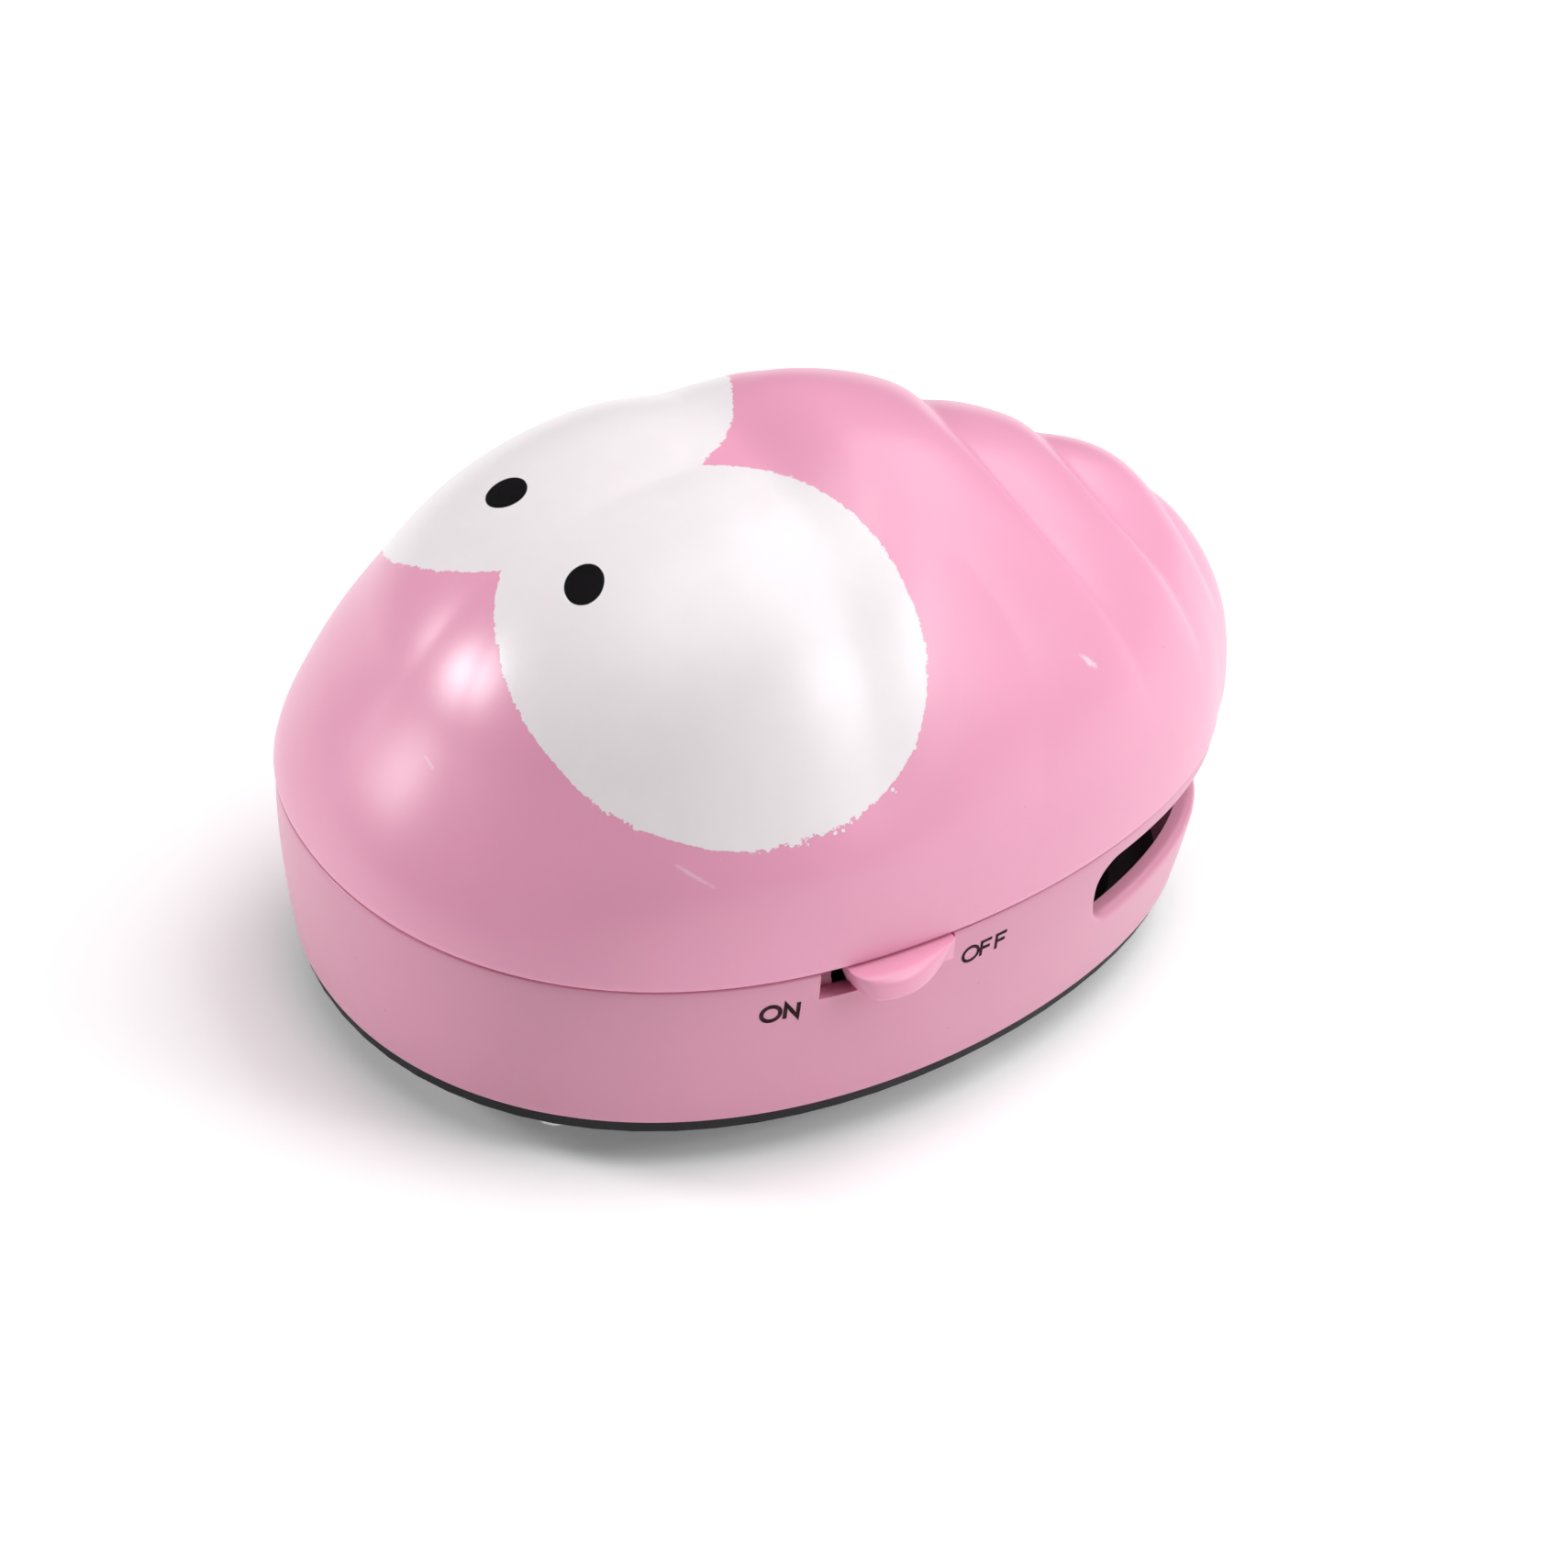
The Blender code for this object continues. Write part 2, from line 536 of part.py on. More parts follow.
def build_filter():
    cone = loft("filter_cone", [
        [(r * math.cos(2 * math.pi * i / 40), r * math.sin(2 * math.pi * i / 40), z) for i in range(40)]
        for r, z in ((20.4, 27.9), (18.9, 33.0), (17.1, 38.0), (14.7, 43.0), (11.6, 47.0))], True, False)
    mod = cone.modifiers.new("cloth", "SOLIDIFY")
    mod.thickness = 0.7 * MM
    mod.offset = -1
    cone.location = (0, FAN_Y * MM, 0)
    finish(cone, cloth)
    ring = turned("filter_ring", [(19.2, 27.6), (21.4, 27.6), (21.4, 25.4), (19.2, 25.4)], 40, closed=True)
    ring.location = (0, FAN_Y * MM, 0)
    finish(ring, white, False)
    cap = turned("filter_cap", [(0, 48.8), (11.4, 48.8), (12.4, 48.2), (12.4, 47.3), (0, 47.3)], 40)
    cap.location = (0, FAN_Y * MM, 0)
    finish(cap, white)


def build_switch():
    outline = [(0.0, 0.0), (0.25, KNOB_OUT * 0.55)]
    for i in range(13):
        u = 1.6 + (KNOB_LEN - 1.6) * i / 12
        bow = max(1 - ((u - 4.6) / (KNOB_LEN - 4.6 + 0.05)) ** 2, 0.0) if u > 4.6 else 1 - 0.02 * (4.6 - u) ** 2
        outline.append((u, KNOB_OUT * bow ** 0.5))
    outline += [(KNOB_LEN, 0.0), (KNOB_LEN, -2.2), (11.0, -2.2), (11.0, -8.0), (3.0, -8.0), (3.0, -2.2), (0.0, -2.2)]
    origin = Vector((*KNOB_AT, 0.0))
    plan = [WALL_DIR * u + WALL_OUT * v for u, v in outline]
    knob = prism("switch_knob", [[(p.x, p.y) for p in plan]], KNOB_Z0, KNOB_Z1)
    knob.location = origin * MM
    finish(knob, pink, False)
    lever = box("switch_lever", -1.0, 1.0, -1.0, 1.0, 17.6, KNOB_Z0 - 0.3)
    lever.location = (31.6 * MM, -3.0 * MM, 0)
    finish(lever, black, False)
    finish(box("switch_body", 30.0, 33.1, -10.5, 3.0, 11.8, 17.3), steel, False)


def build_screws():
    for k, (x, y) in enumerate(BOSSES):
        screw = turned("case_screw_%d" % (k + 1), [(0, 15.0), (0.9, 14.2), (0.9, 4.7), (2.2, 4.7), (2.2, 3.9), (1.6, 3.5), (0, 3.5)], 12)
        screw.location = (x * MM, y * MM, 0)
        finish(screw, steel)
        top = turned("deck_screw_%d" % (k + 1), [(0, 26.6), (1.3, 26.6), (1.8, 26.2), (1.8, 25.4), (0.9, 25.4), (0.9, 17.2), (0, 16.4)], 12)
        top.location = (x * MM, y * MM, 0)
        finish(top, steel)


build_lid()
build_tub()
build_plate()
build_door()
build_deck()
build_duct()
build_brush("brush_front", -43.4)
build_brush("brush_rear", -32.6)
build_cells()
build_fan()
build_filter()
build_switch()
build_screws()

# The origin sits under the middle of the whole object, thumb tab included
for obj in list(parts.objects) + [item for item in cutters.objects if item.parent is None]:
    obj.location += Vector(BODY_SHIFT) * MM
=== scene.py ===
import json
import math

import bmesh
import bpy
import numpy as np
from mathutils import Matrix, Vector


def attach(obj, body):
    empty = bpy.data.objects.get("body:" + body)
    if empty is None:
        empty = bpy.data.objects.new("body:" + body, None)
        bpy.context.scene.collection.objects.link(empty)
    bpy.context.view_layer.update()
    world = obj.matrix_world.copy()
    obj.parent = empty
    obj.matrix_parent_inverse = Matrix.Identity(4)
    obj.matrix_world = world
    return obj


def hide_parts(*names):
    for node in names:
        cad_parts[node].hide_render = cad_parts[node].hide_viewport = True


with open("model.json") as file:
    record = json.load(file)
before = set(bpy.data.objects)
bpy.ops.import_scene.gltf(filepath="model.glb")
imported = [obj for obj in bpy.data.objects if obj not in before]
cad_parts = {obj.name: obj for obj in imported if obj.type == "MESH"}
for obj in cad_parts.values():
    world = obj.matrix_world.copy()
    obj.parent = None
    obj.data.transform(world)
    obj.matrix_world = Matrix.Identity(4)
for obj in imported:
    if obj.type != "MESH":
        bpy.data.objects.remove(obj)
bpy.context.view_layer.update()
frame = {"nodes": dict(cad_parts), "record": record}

MM = 0.001
# Outer shape: all lengths in millimetres, before the shift to the frame
SHIFT = np.array([-1.66, -1.19, 0.0])
HALF_LENGTH, HALF_WIDTH, EGG, PLAN_POWER = 54.05, 38.0, -0.225, 2.10
FOOT_SCALE, TUB_BOW = 0.947, 1.6
TUB_Z0, TUB_Z1, SEAM_Z, LID_Z0 = 6.5, 25.2, 25.37, 25.5
DOME_H, DOME_MY, DOME_ML, DOME_HW = 44.25, -1.88, 47.75, 0.915
SKIRT_H, SKIRT_H_TAIL, SKIRT_BLEND = 34.45, 10.8, 2.5
TAIL_Y, TAIL_L, TAIL_H, TAIL_W, TAIL_BLEND = 20.5, 32.05, 30.95, 13.55, 8.0
EYE_X, EYE_Y, EYE_Z, EYE_R, EYE_BULGE = 25.6, -14.9, 41.8, 31.8, 1.84
VALLEY, VALLEY_Y, VALLEY_FRONT, VALLEY_REAR, VALLEY_W = 4.4, -7.0, 28.5, 7.5, 14.7
# Creases across the tail: place on the middle line, sweep, where they fade sideways, depth
CREASES = ((19.2, 0.025, 14.0, 27.0, 1.6), (33.1, 0.045, 9.0, 20.0, 1.6), (46.4, 0.08, 4.0, 13.0, 1.3))


def smooth_min(a, b, k):
    """Smaller of two values, blended over the width k."""
    h = np.clip(0.5 + 0.5 * (b - a) / k, 0.0, 1.0)
    return b + (a - b) * h - k * h * (1 - h)


def smooth_step(a, b, x):
    """0 below a and 1 above b, with a smooth ramp between."""
    t = np.clip((x - a) / (b - a), 0.0, 1.0)
    return t * t * (3 - 2 * t)


def egg_field(x, y, z):
    """Negative inside the plain dome: a skirt, a head and a tail blended together."""
    w = 1 + EGG * y / HALF_LENGTH
    rise = SKIRT_H + SKIRT_H_TAIL * y / HALF_LENGTH

    def plan(px, py, rx, ry):
        return (np.abs(px / rx) ** PLAN_POWER + np.abs(py / ry) ** PLAN_POWER) ** (2 / PLAN_POWER)

    skirt = (np.sqrt(plan(x / w, y, HALF_WIDTH, HALF_LENGTH) + (z / rise) ** 2) - 1) * 22
    head = (np.sqrt(plan(x / w, y - DOME_MY, HALF_WIDTH * DOME_HW, DOME_ML) + (z / DOME_H) ** 2) - 1) * 30
    tail = (np.sqrt((x / TAIL_W) ** 2 + ((y - TAIL_Y) / TAIL_L) ** 2 + (z / TAIL_H) ** 2) - 1) * 28
    return smooth_min(smooth_min(skirt, head, SKIRT_BLEND), tail, TAIL_BLEND)


def relief(x, y, z):
    """How far the eye bulges stand out, less the creases and the valley between the eyes."""
    d2 = ((np.abs(x) - EYE_X) ** 2 + (y - EYE_Y) ** 2 + (z - EYE_Z) ** 2) / EYE_R ** 2
    near = np.maximum(1 - d2, 0.0)
    out = EYE_BULGE * near * (0.35 + 0.65 * near ** 0.3)
    for y0, sweep, side0, side1, depth in CREASES:
        c = y0 + sweep * x * x
        reach = np.where(y < c, 3.0, 5.5)
        v = np.exp(-(np.sqrt((y - c) ** 2 + 0.16) - 0.4) / reach)
        out = out - depth * v * (1 - smooth_step(side0, side1, np.abs(x))) * smooth_step(33.0, 45.0, z)
    reach = np.where(y < VALLEY_Y, VALLEY_FRONT, VALLEY_REAR)
    soft = 0.8 + 9 * smooth_step(-15.0, -4.0, y)
    across = np.exp(-(np.sqrt(x * x + soft * soft) - soft) / VALLEY_W)
    dip = VALLEY * np.exp(-((y - VALLEY_Y) / reach) ** 2) * across * smooth_step(33.0, 45.0, z)
    return out * smooth_step(26.0, 38.0, z) - dip


def dome_points(turn, lift):
    """Outer surface of the dome for arrays of turn and lift angles."""
    dx, dy, dz = np.cos(turn) * np.cos(lift), np.sin(turn) * np.cos(lift), np.sin(lift)
    low, high = np.full_like(dx, 5.0), np.full_like(dx, 90.0)
    for _ in range(30):
        mid = (low + high) / 2
        inside = egg_field(dx * mid, dy * mid, dz * mid) < 0
        low, high = np.where(inside, mid, low), np.where(inside, high, mid)
    r = low + relief(dx * low, dy * low, SEAM_Z + dz * low)
    return np.stack([dx * r, dy * r, LID_Z0 + dz * r], -1)


def plan_points(t, scale=1.0, inset=0.0):
    """Seam outline for an array of angles, scaled about the middle and moved inwards."""
    def raw(a):
        c, s = np.cos(a), np.sin(a)
        x = HALF_WIDTH * np.sign(c) * np.abs(c) ** (2 / PLAN_POWER) * (1 + EGG * s)
        return np.stack([x * scale, HALF_LENGTH * s * scale], -1)
    p = raw(t)
    d = raw(t + 0.01) - raw(t - 0.01)
    d = d / np.linalg.norm(d, axis=-1, keepdims=True)
    inset = np.asarray(inset)[..., None] if np.ndim(inset) else inset
    return p + inset * np.stack([-d[..., 1], d[..., 0]], -1)


def tub_scale(z):
    """Size of the tub's outline at a height, against the seam outline."""
    return 1 - (1 - FOOT_SCALE) * np.clip((TUB_Z1 - z) / (TUB_Z1 - TUB_Z0), 0.0, 1.0) ** TUB_BOW


def grid_faces(rows, count, wrap=True):
    """Quads over rows of equal length, as indices."""
    span = count if wrap else count - 1
    faces = []
    for j in range(rows - 1):
        a, b = j * count, (j + 1) * count
        for i in range(span):
            k = (i + 1) % count
            faces.append((a + i, a + k, b + k, b + i))
    return faces


def make_mesh(name, verts, faces, body, replaces=(), sharp=None):
    """New mesh object from points in shape millimetres, riding on a body of the frame."""
    mesh = bpy.data.meshes.new(name)
    points = (np.asarray(verts, float) + SHIFT) * MM
    mesh.from_pydata([tuple(p) for p in points], [], faces)
    bm = bmesh.new()
    bm.from_mesh(mesh)
    bmesh.ops.remove_doubles(bm, verts=bm.verts, dist=3e-7)
    bmesh.ops.recalc_face_normals(bm, faces=bm.faces)
    bm.to_mesh(mesh)
    bm.free()
    mesh.shade_smooth()
    if sharp is not None:
        mesh.set_sharp_from_angle(angle=math.radians(sharp))
    obj = bpy.data.objects.new(name, mesh)
    bpy.context.scene.collection.objects.link(obj)
    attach(obj, body)
    if replaces:
        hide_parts(*replaces)
    return obj


# ------------------------------------------------------------------ materials
class Nodes:
    """Small helper for building a material's node tree."""

    def __init__(self, name):
        self.mat = bpy.data.materials.new(name)
        self.mat.use_nodes = True
        self.tree = self.mat.node_tree
        self.shader = self.tree.nodes["Principled BSDF"]
        self.coords = self.tree.nodes.new("ShaderNodeTexCoord").outputs["Object"]

    def link(self, a, b):
        self.tree.links.new(a, b)

    def put(self, socket, value):
        if isinstance(value, bpy.types.NodeSocket):
            self.link(value, socket)
        elif value is not None:
            socket.default_value = value

    def math(self, op, a, b=None, c=None):
        node = self.tree.nodes.new("ShaderNodeMath")
        node.operation = op
        for socket, value in zip(node.inputs, (a, b, c)):
            self.put(socket, value)
        return node.outputs[0]

    def noise(self, scale, detail=2.0, rough=0.5, vector=None, distortion=0.0):
        node = self.tree.nodes.new("ShaderNodeTexNoise")
        self.link(vector or self.coords, node.inputs["Vector"])
        node.inputs["Scale"].default_value = scale
        node.inputs["Detail"].default_value = detail
        node.inputs["Roughness"].default_value = rough
        node.inputs["Distortion"].default_value = distortion
        return node.outputs["Fac"]

    def cells(self, scale, feature="F1", vector=None):
        node = self.tree.nodes.new("ShaderNodeTexVoronoi")
        node.feature = feature
        self.link(vector or self.coords, node.inputs["Vector"])
        node.inputs["Scale"].default_value = scale
        return node.outputs["Distance"]

    def ramp(self, value, low, high, out_low=0.0, out_high=1.0):
        node = self.tree.nodes.new("ShaderNodeMapRange")
        node.clamp = True
        self.link(value, node.inputs["Value"])
        limits = {"From Min": low, "From Max": high, "To Min": out_low, "To Max": out_high}
        for socket, number in limits.items():
            node.inputs[socket].default_value = number
        return node.outputs["Result"]

    def mix(self, factor, a, b):
        node = self.tree.nodes.new("ShaderNodeMix")
        node.data_type = "RGBA"
        self.put(node.inputs[0], factor)
        self.put(node.inputs[6], a if isinstance(a, bpy.types.NodeSocket) else (*a, 1.0))
        self.put(node.inputs[7], b if isinstance(b, bpy.types.NodeSocket) else (*b, 1.0))
        return node.outputs[2]

    def attribute(self, name):
        node = self.tree.nodes.new("ShaderNodeAttribute")
        node.attribute_name = name
        return node.outputs["Fac"]

    def axis(self, index):
        node = self.tree.nodes.new("ShaderNodeSeparateXYZ")
        self.link(self.coords, node.inputs[0])
        return node.outputs[index]

    def stretch(self, scale, turn=(0, 0, 0)):
        node = self.tree.nodes.new("ShaderNodeMapping")
        self.link(self.coords, node.inputs["Vector"])
        node.inputs["Scale"].default_value = scale
        node.inputs["Rotation"].default_value = turn
        return node.outputs[0]

    def bump(self, height, distance, strength=1.0, normal=None):
        node = self.tree.nodes.new("ShaderNodeBump")
        node.inputs["Strength"].default_value = strength
        node.inputs["Distance"].default_value = distance
        self.link(height, node.inputs["Height"])
        if normal is not None:
            self.link(normal, node.inputs["Normal"])
        return node.outputs["Normal"]

    def ellipse(self, at, ways, size, ragged, soft=0.04, mirror=False):
        """1 inside a small ellipse painted on the surface, on both sides of the middle plane if mirrored."""
        x = self.math("SUBTRACT", self.axis(0), float(SHIFT[0]) * MM)
        centre = self.tree.nodes.new("ShaderNodeCombineXYZ")
        self.put(centre.inputs[0], self.math("ABSOLUTE", x) if mirror else x)
        self.put(centre.inputs[1], self.math("SUBTRACT", self.axis(1), float(SHIFT[1]) * MM))
        self.put(centre.inputs[2], self.axis(2))
        off = self.tree.nodes.new("ShaderNodeVectorMath")
        off.operation = "SUBTRACT"
        self.link(centre.outputs[0], off.inputs[0])
        off.inputs[1].default_value = tuple(v * MM for v in at)
        total = None
        for way, half in zip(ways, size):
            dot = self.tree.nodes.new("ShaderNodeVectorMath")
            dot.operation = "DOT_PRODUCT"
            self.link(off.outputs[0], dot.inputs[0])
            dot.inputs[1].default_value = tuple(v / (half * MM) for v in way)
            square = self.math("MULTIPLY", dot.outputs["Value"], dot.outputs["Value"])
            total = square if total is None else self.math("ADD", total, square)
        inside = self.math("ADD", self.math("SUBTRACT", 1.0, self.math("SQRT", total)), ragged)
        return self.ramp(inside, 0.0, soft)

    def set(self, **values):
        """Shader inputs by short name; gives back the finished material."""
        names = {"colour": "Base Color", "rough": "Roughness", "metal": "Metallic", "normal": "Normal",
                 "sss": "Subsurface Weight", "sss_radius": "Subsurface Radius",
                 "sss_scale": "Subsurface Scale", "coat": "Coat Weight", "coat_rough": "Coat Roughness",
                 "spec": "Specular IOR Level", "sheen": "Sheen Weight", "ior": "IOR"}
        for key, value in values.items():
            self.put(self.shader.inputs[names[key]], value)
        return self.mat


def scaled(colour, k):
    return tuple(min(c * k, 1.0) for c in colour)


# Rubbed marks on the lid: place, directions along and across, half sizes in mm, strength
SCUFFS = (((25.0, 24.0, 47.2), ((0.55, 0.45, -0.70), (0.30, 0.60, 0.65)), (1.6, 0.25), 0.85),
          ((34.4, -26.6, 38.4), ((0.45, 0.75, -0.45), (0.2, 0.4, 0.9)), (3.0, 0.22), 0.40),
          ((9.5, -45.2, 41.0), ((0.95, 0.25, -0.2), (0.2, 0.4, 0.9)), (1.3, 0.20), 0.35))


# Base colours, and how light spreads inside the pink shells; the tub's pink is the lid's pink made darker,
# painted shade for the tub's side wall
PINK = (0.838, 0.36, 0.52)
PINK_TUB_WITH_PAINTED_SHADE = (0.705, 0.305, 0.432)
WHITE_PAINT = (0.88, 0.815, 0.84)
BLACK_PAINT = (0.008, 0.007, 0.008)
SCUFF_COLOUR = (0.95, 0.72, 0.80)
UNDER_PAINT = (0.35, 0.22, 0.27)
ABS_SCATTER = {"sss_radius": (1.0, 0.35, 0.4), "sss_scale": 0.0025, "ior": 1.5}
ABS_ROUGH = (0.285, 0.315)
WHITE_CLOTH, DUSTY_CLOTH = (0.80, 0.79, 0.75), (0.52, 0.50, 0.47)


def moulded(n, base):
    """Colour and roughness of glossy moulded ABS."""
    colour = n.mix(n.ramp(n.noise(38.0, 3.0, 0.55), 0.3, 0.7), scaled(base, 0.97), scaled(base, 1.02))
    dots = n.ramp(n.cells(420.0), 0.035, 0.07, 0.45, 0.0)
    speck = n.math("MULTIPLY", dots, n.ramp(n.noise(61.0, 0.0), 0.63, 0.66))
    return n.mix(speck, colour, scaled(base, 0.55)), n.ramp(n.noise(70.0, 2.0, 0.5), 0.3, 0.7, *ABS_ROUGH)


def lid_material():
    n = Nodes("lid_abs_and_paint")
    colour, rough = moulded(n, PINK)
    edge = n.attribute("eye_edge")
    # the stencil edge wavers a little everywhere and is torn in places
    waver = n.math("MULTIPLY", n.math("SUBTRACT", n.noise(260.0, 2.0, 0.5), 0.5), 0.30)
    low = n.ramp(n.axis(2), 0.040, 0.056, 1.0, 0.25)
    torn = n.math("MULTIPLY", n.ramp(n.noise(95.0, 1.0), 0.40, 0.60), low)
    tooth = n.math("SUBTRACT", n.noise(1150.0, 3.0, 0.7), 0.45)
    teeth = n.math("MULTIPLY", tooth, n.math("MULTIPLY_ADD", torn, 2.2, 0.65))
    beads = n.ramp(n.cells(900.0), 0.10, 0.30, 1.0, 0.0)
    drops = n.math("MULTIPLY", beads, n.ramp(n.noise(330.0, 0.0), 0.63, 0.68))
    drops = n.math("MULTIPLY", n.math("MULTIPLY", drops, low), 0.95)
    reach = n.math("ADD", n.math("ADD", edge, waver), n.math("ADD", teeth, drops))
    white = n.ramp(reach, -0.03, 0.05)
    thin = n.ramp(n.noise(300.0, 2.0), 0.35, 0.7)
    white_colour = n.mix(thin, scaled(WHITE_PAINT, 0.985), WHITE_PAINT)
    pit = n.ramp(n.cells(260.0), 0.03, 0.05, 1.0, 0.0)
    pit = n.math("MULTIPLY", pit, n.ramp(n.noise(47.0, 0.0), 0.62, 0.64))
    white_colour = n.mix(n.math("MULTIPLY", pit, 0.6), white_colour, UNDER_PAINT)
    colour = n.mix(white, colour, white_colour)
    wavy = n.math("MULTIPLY_ADD", n.noise(700.0), 0.03, -0.015)
    pupil = n.ellipse(PUPIL_AT, (PUPIL_ACROSS, PUPIL_UP), PUPIL_SIZE, wavy, mirror=True)
    pupil = n.math("MULTIPLY", pupil, n.ramp(edge, 0.2, 0.6))
    outside = n.ramp(edge, -90.0, -80.0)            # 0 on the inner side of the lid
    colour = n.mix(pupil, colour, BLACK_PAINT)
    rough = n.math("SUBTRACT", rough, n.math("MULTIPLY", pupil, 0.12))
    rough = n.math("ADD", rough, n.math("MULTIPLY", white, 0.01))
    for at, ways, size, strength in SCUFFS:
        mark = n.ellipse(at, ways, size, n.math("MULTIPLY_ADD", n.noise(900.0, 2.0), 1.6, -0.8), 0.5)
        mark = n.math("MULTIPLY", mark, outside)
        colour = n.mix(n.math("MULTIPLY", mark, strength), colour, SCUFF_COLOUR)
    height = n.math("ADD", n.math("MULTIPLY", white, 0.6), n.math("MULTIPLY", pupil, 0.6))
    normal = n.bump(n.noise(900.0, 2.0, 0.5), 0.000003, 0.5)
    normal = n.bump(height, 0.00005, 0.9, normal)
    return n.set(colour=colour, rough=rough, normal=normal, sss=0.10, **ABS_SCATTER)


def tub_material():
    n = Nodes("tub_abs")
    # the tub's darker pink is partly painted shade for its side wall
    colour, rough = moulded(n, PINK_TUB_WITH_PAINTED_SHADE)
    normal = n.bump(n.noise(900.0, 2.0, 0.5), 0.000004, 0.5)
    rough = n.math("ADD", rough, 0.03)
    return n.set(colour=colour, rough=rough, normal=normal, sss=0.10, **ABS_SCATTER)


def plain_plastic(name, base, rough_low, rough_high, grain=700.0, depth=0.00001):
    n = Nodes(name)
    cloud = n.noise(90.0, 3.0, 0.6)
    colour = n.mix(n.ramp(cloud, 0.3, 0.7), scaled(base, 0.9), scaled(base, 1.08))
    rough = n.ramp(n.noise(160.0, 3.0), 0.3, 0.7, rough_low, rough_high)
    normal = n.bump(n.noise(grain, 3.0, 0.6), depth, 0.8)
    return n.set(colour=colour, rough=rough, normal=normal, spec=0.3)


def metal(name, base, rough_low, rough_high, turn=(0, 0, 0)):
    n = Nodes(name)
    brushed = n.noise(60.0, 4.0, 0.7, n.stretch((1.0, 1.0, 40.0), turn))
    colour = n.mix(n.ramp(brushed, 0.3, 0.7), scaled(base, 0.86), scaled(base, 1.05))
    rough = n.ramp(brushed, 0.3, 0.7, rough_low, rough_high)
    normal = n.bump(brushed, 0.000006, 0.6)
    return n.set(colour=colour, rough=rough, normal=normal, metal=1.0)


def cloth_material():
    n = Nodes("filter_cloth")
    warp = n.noise(1500.0, 1.0, 0.5, n.stretch((1.0, 1.0, 0.12)))
    weft = n.noise(1500.0, 1.0, 0.5, n.stretch((0.12, 0.12, 1.0)))
    weave = n.math("MULTIPLY", warp, weft)
    dust = n.ramp(n.noise(70.0, 4.0, 0.65), 0.45, 0.75)
    colour = n.mix(dust, WHITE_CLOTH, DUSTY_CLOTH)
    colour = n.mix(n.ramp(weave, 0.15, 0.35), scaled(WHITE_CLOTH, 0.75), colour)
    return n.set(colour=colour, rough=n.ramp(weave, 0.1, 0.4, 0.95, 0.8), normal=n.bump(weave, 0.00025, 0.9),
                 sheen=0.25)


def nylon_material():
    n = Nodes("nylon_bristle")
    streak = n.noise(2200.0, 2.0, 0.5, n.stretch((1.0, 1.0, 0.08)))
    colour = n.mix(n.ramp(streak, 0.35, 0.65), (0.028, 0.028, 0.032), (0.085, 0.083, 0.088))
    rough = n.ramp(streak, 0.3, 0.7, 0.32, 0.5)
    return n.set(colour=colour, rough=rough, normal=n.bump(streak, 0.00002, 0.6))


def foam_material():
    n = Nodes("foam_rubber")
    pores = n.cells(2600.0)
    colour = n.mix(n.ramp(pores, 0.1, 0.45), (0.010, 0.010, 0.011), (0.045, 0.044, 0.046))
    worn = n.ramp(n.noise(400.0, 2.0), 0.5, 0.7)
    colour = n.mix(n.math("MULTIPLY", worn, 0.4), colour, (0.09, 0.088, 0.085))
    normal = n.bump(n.ramp(pores, 0.1, 0.4), 0.00012, 0.9)
    return n.set(colour=colour, rough=n.ramp(worn, 0.0, 1.0, 0.95, 0.82), normal=normal)


SLEEVE_END, SHOULDER_FROM, RING_AT = 0.0239, 0.0118, 0.0112       # metres from the middle of a cell


def cell_material(node):
    """Printed sleeve with a coloured shoulder and bare steel ends, banded along the cell."""
    n = Nodes("cell_sleeve_" + node.name)
    span = np.ptp(np.array([v.co for v in node.data.vertices]), axis=0)
    along = n.axis(int(span.argmax()))
    inside = n.math("LESS_THAN", n.math("ABSOLUTE", along), SLEEVE_END)
    wander = n.math("MULTIPLY_ADD", n.noise(300.0), 0.0001, SHOULDER_FROM)
    shoulder = n.math("GREATER_THAN", along, wander)
    ring = n.ramp(n.math("ABSOLUTE", n.math("SUBTRACT", along, RING_AT)), 0.0002, 0.0003, 1.0, 0.0)
    sleeve = n.mix(n.ramp(n.noise(60.0, 3.0), 0.3, 0.7), (0.020, 0.021, 0.025), (0.034, 0.035, 0.040))
    copper = n.mix(n.noise(240.0, 2.0), (0.62, 0.27, 0.09), (0.70, 0.33, 0.12))
    colour = n.mix(ring, n.mix(shoulder, sleeve, copper), (0.75, 0.74, 0.70))
    steel_end = n.mix(n.noise(500.0, 3.0), (0.56, 0.56, 0.57), (0.68, 0.68, 0.69))
    rough = n.ramp(n.noise(220.0, 3.0), 0.3, 0.7, 0.22, 0.34)
    return n.set(colour=n.mix(inside, steel_end, colour), rough=rough, metal=n.math("SUBTRACT", 1.0, inside),
                 normal=n.bump(n.noise(900.0, 2.0), 0.000005, 0.6), coat=0.3, coat_rough=0.15)


# ------------------------------------------------------------------ dome
DOME_AROUND, DOME_UP, DOME_INNER_STEP = 448, 132, 3
LID_WALL, RIM_ROUND, RIM_INNER, RIM_BAND = 1.25, 0.35, 1.45, 1.35
INNER_SIDE = -99.0                                  # eye_edge value that keeps paint off the inner side


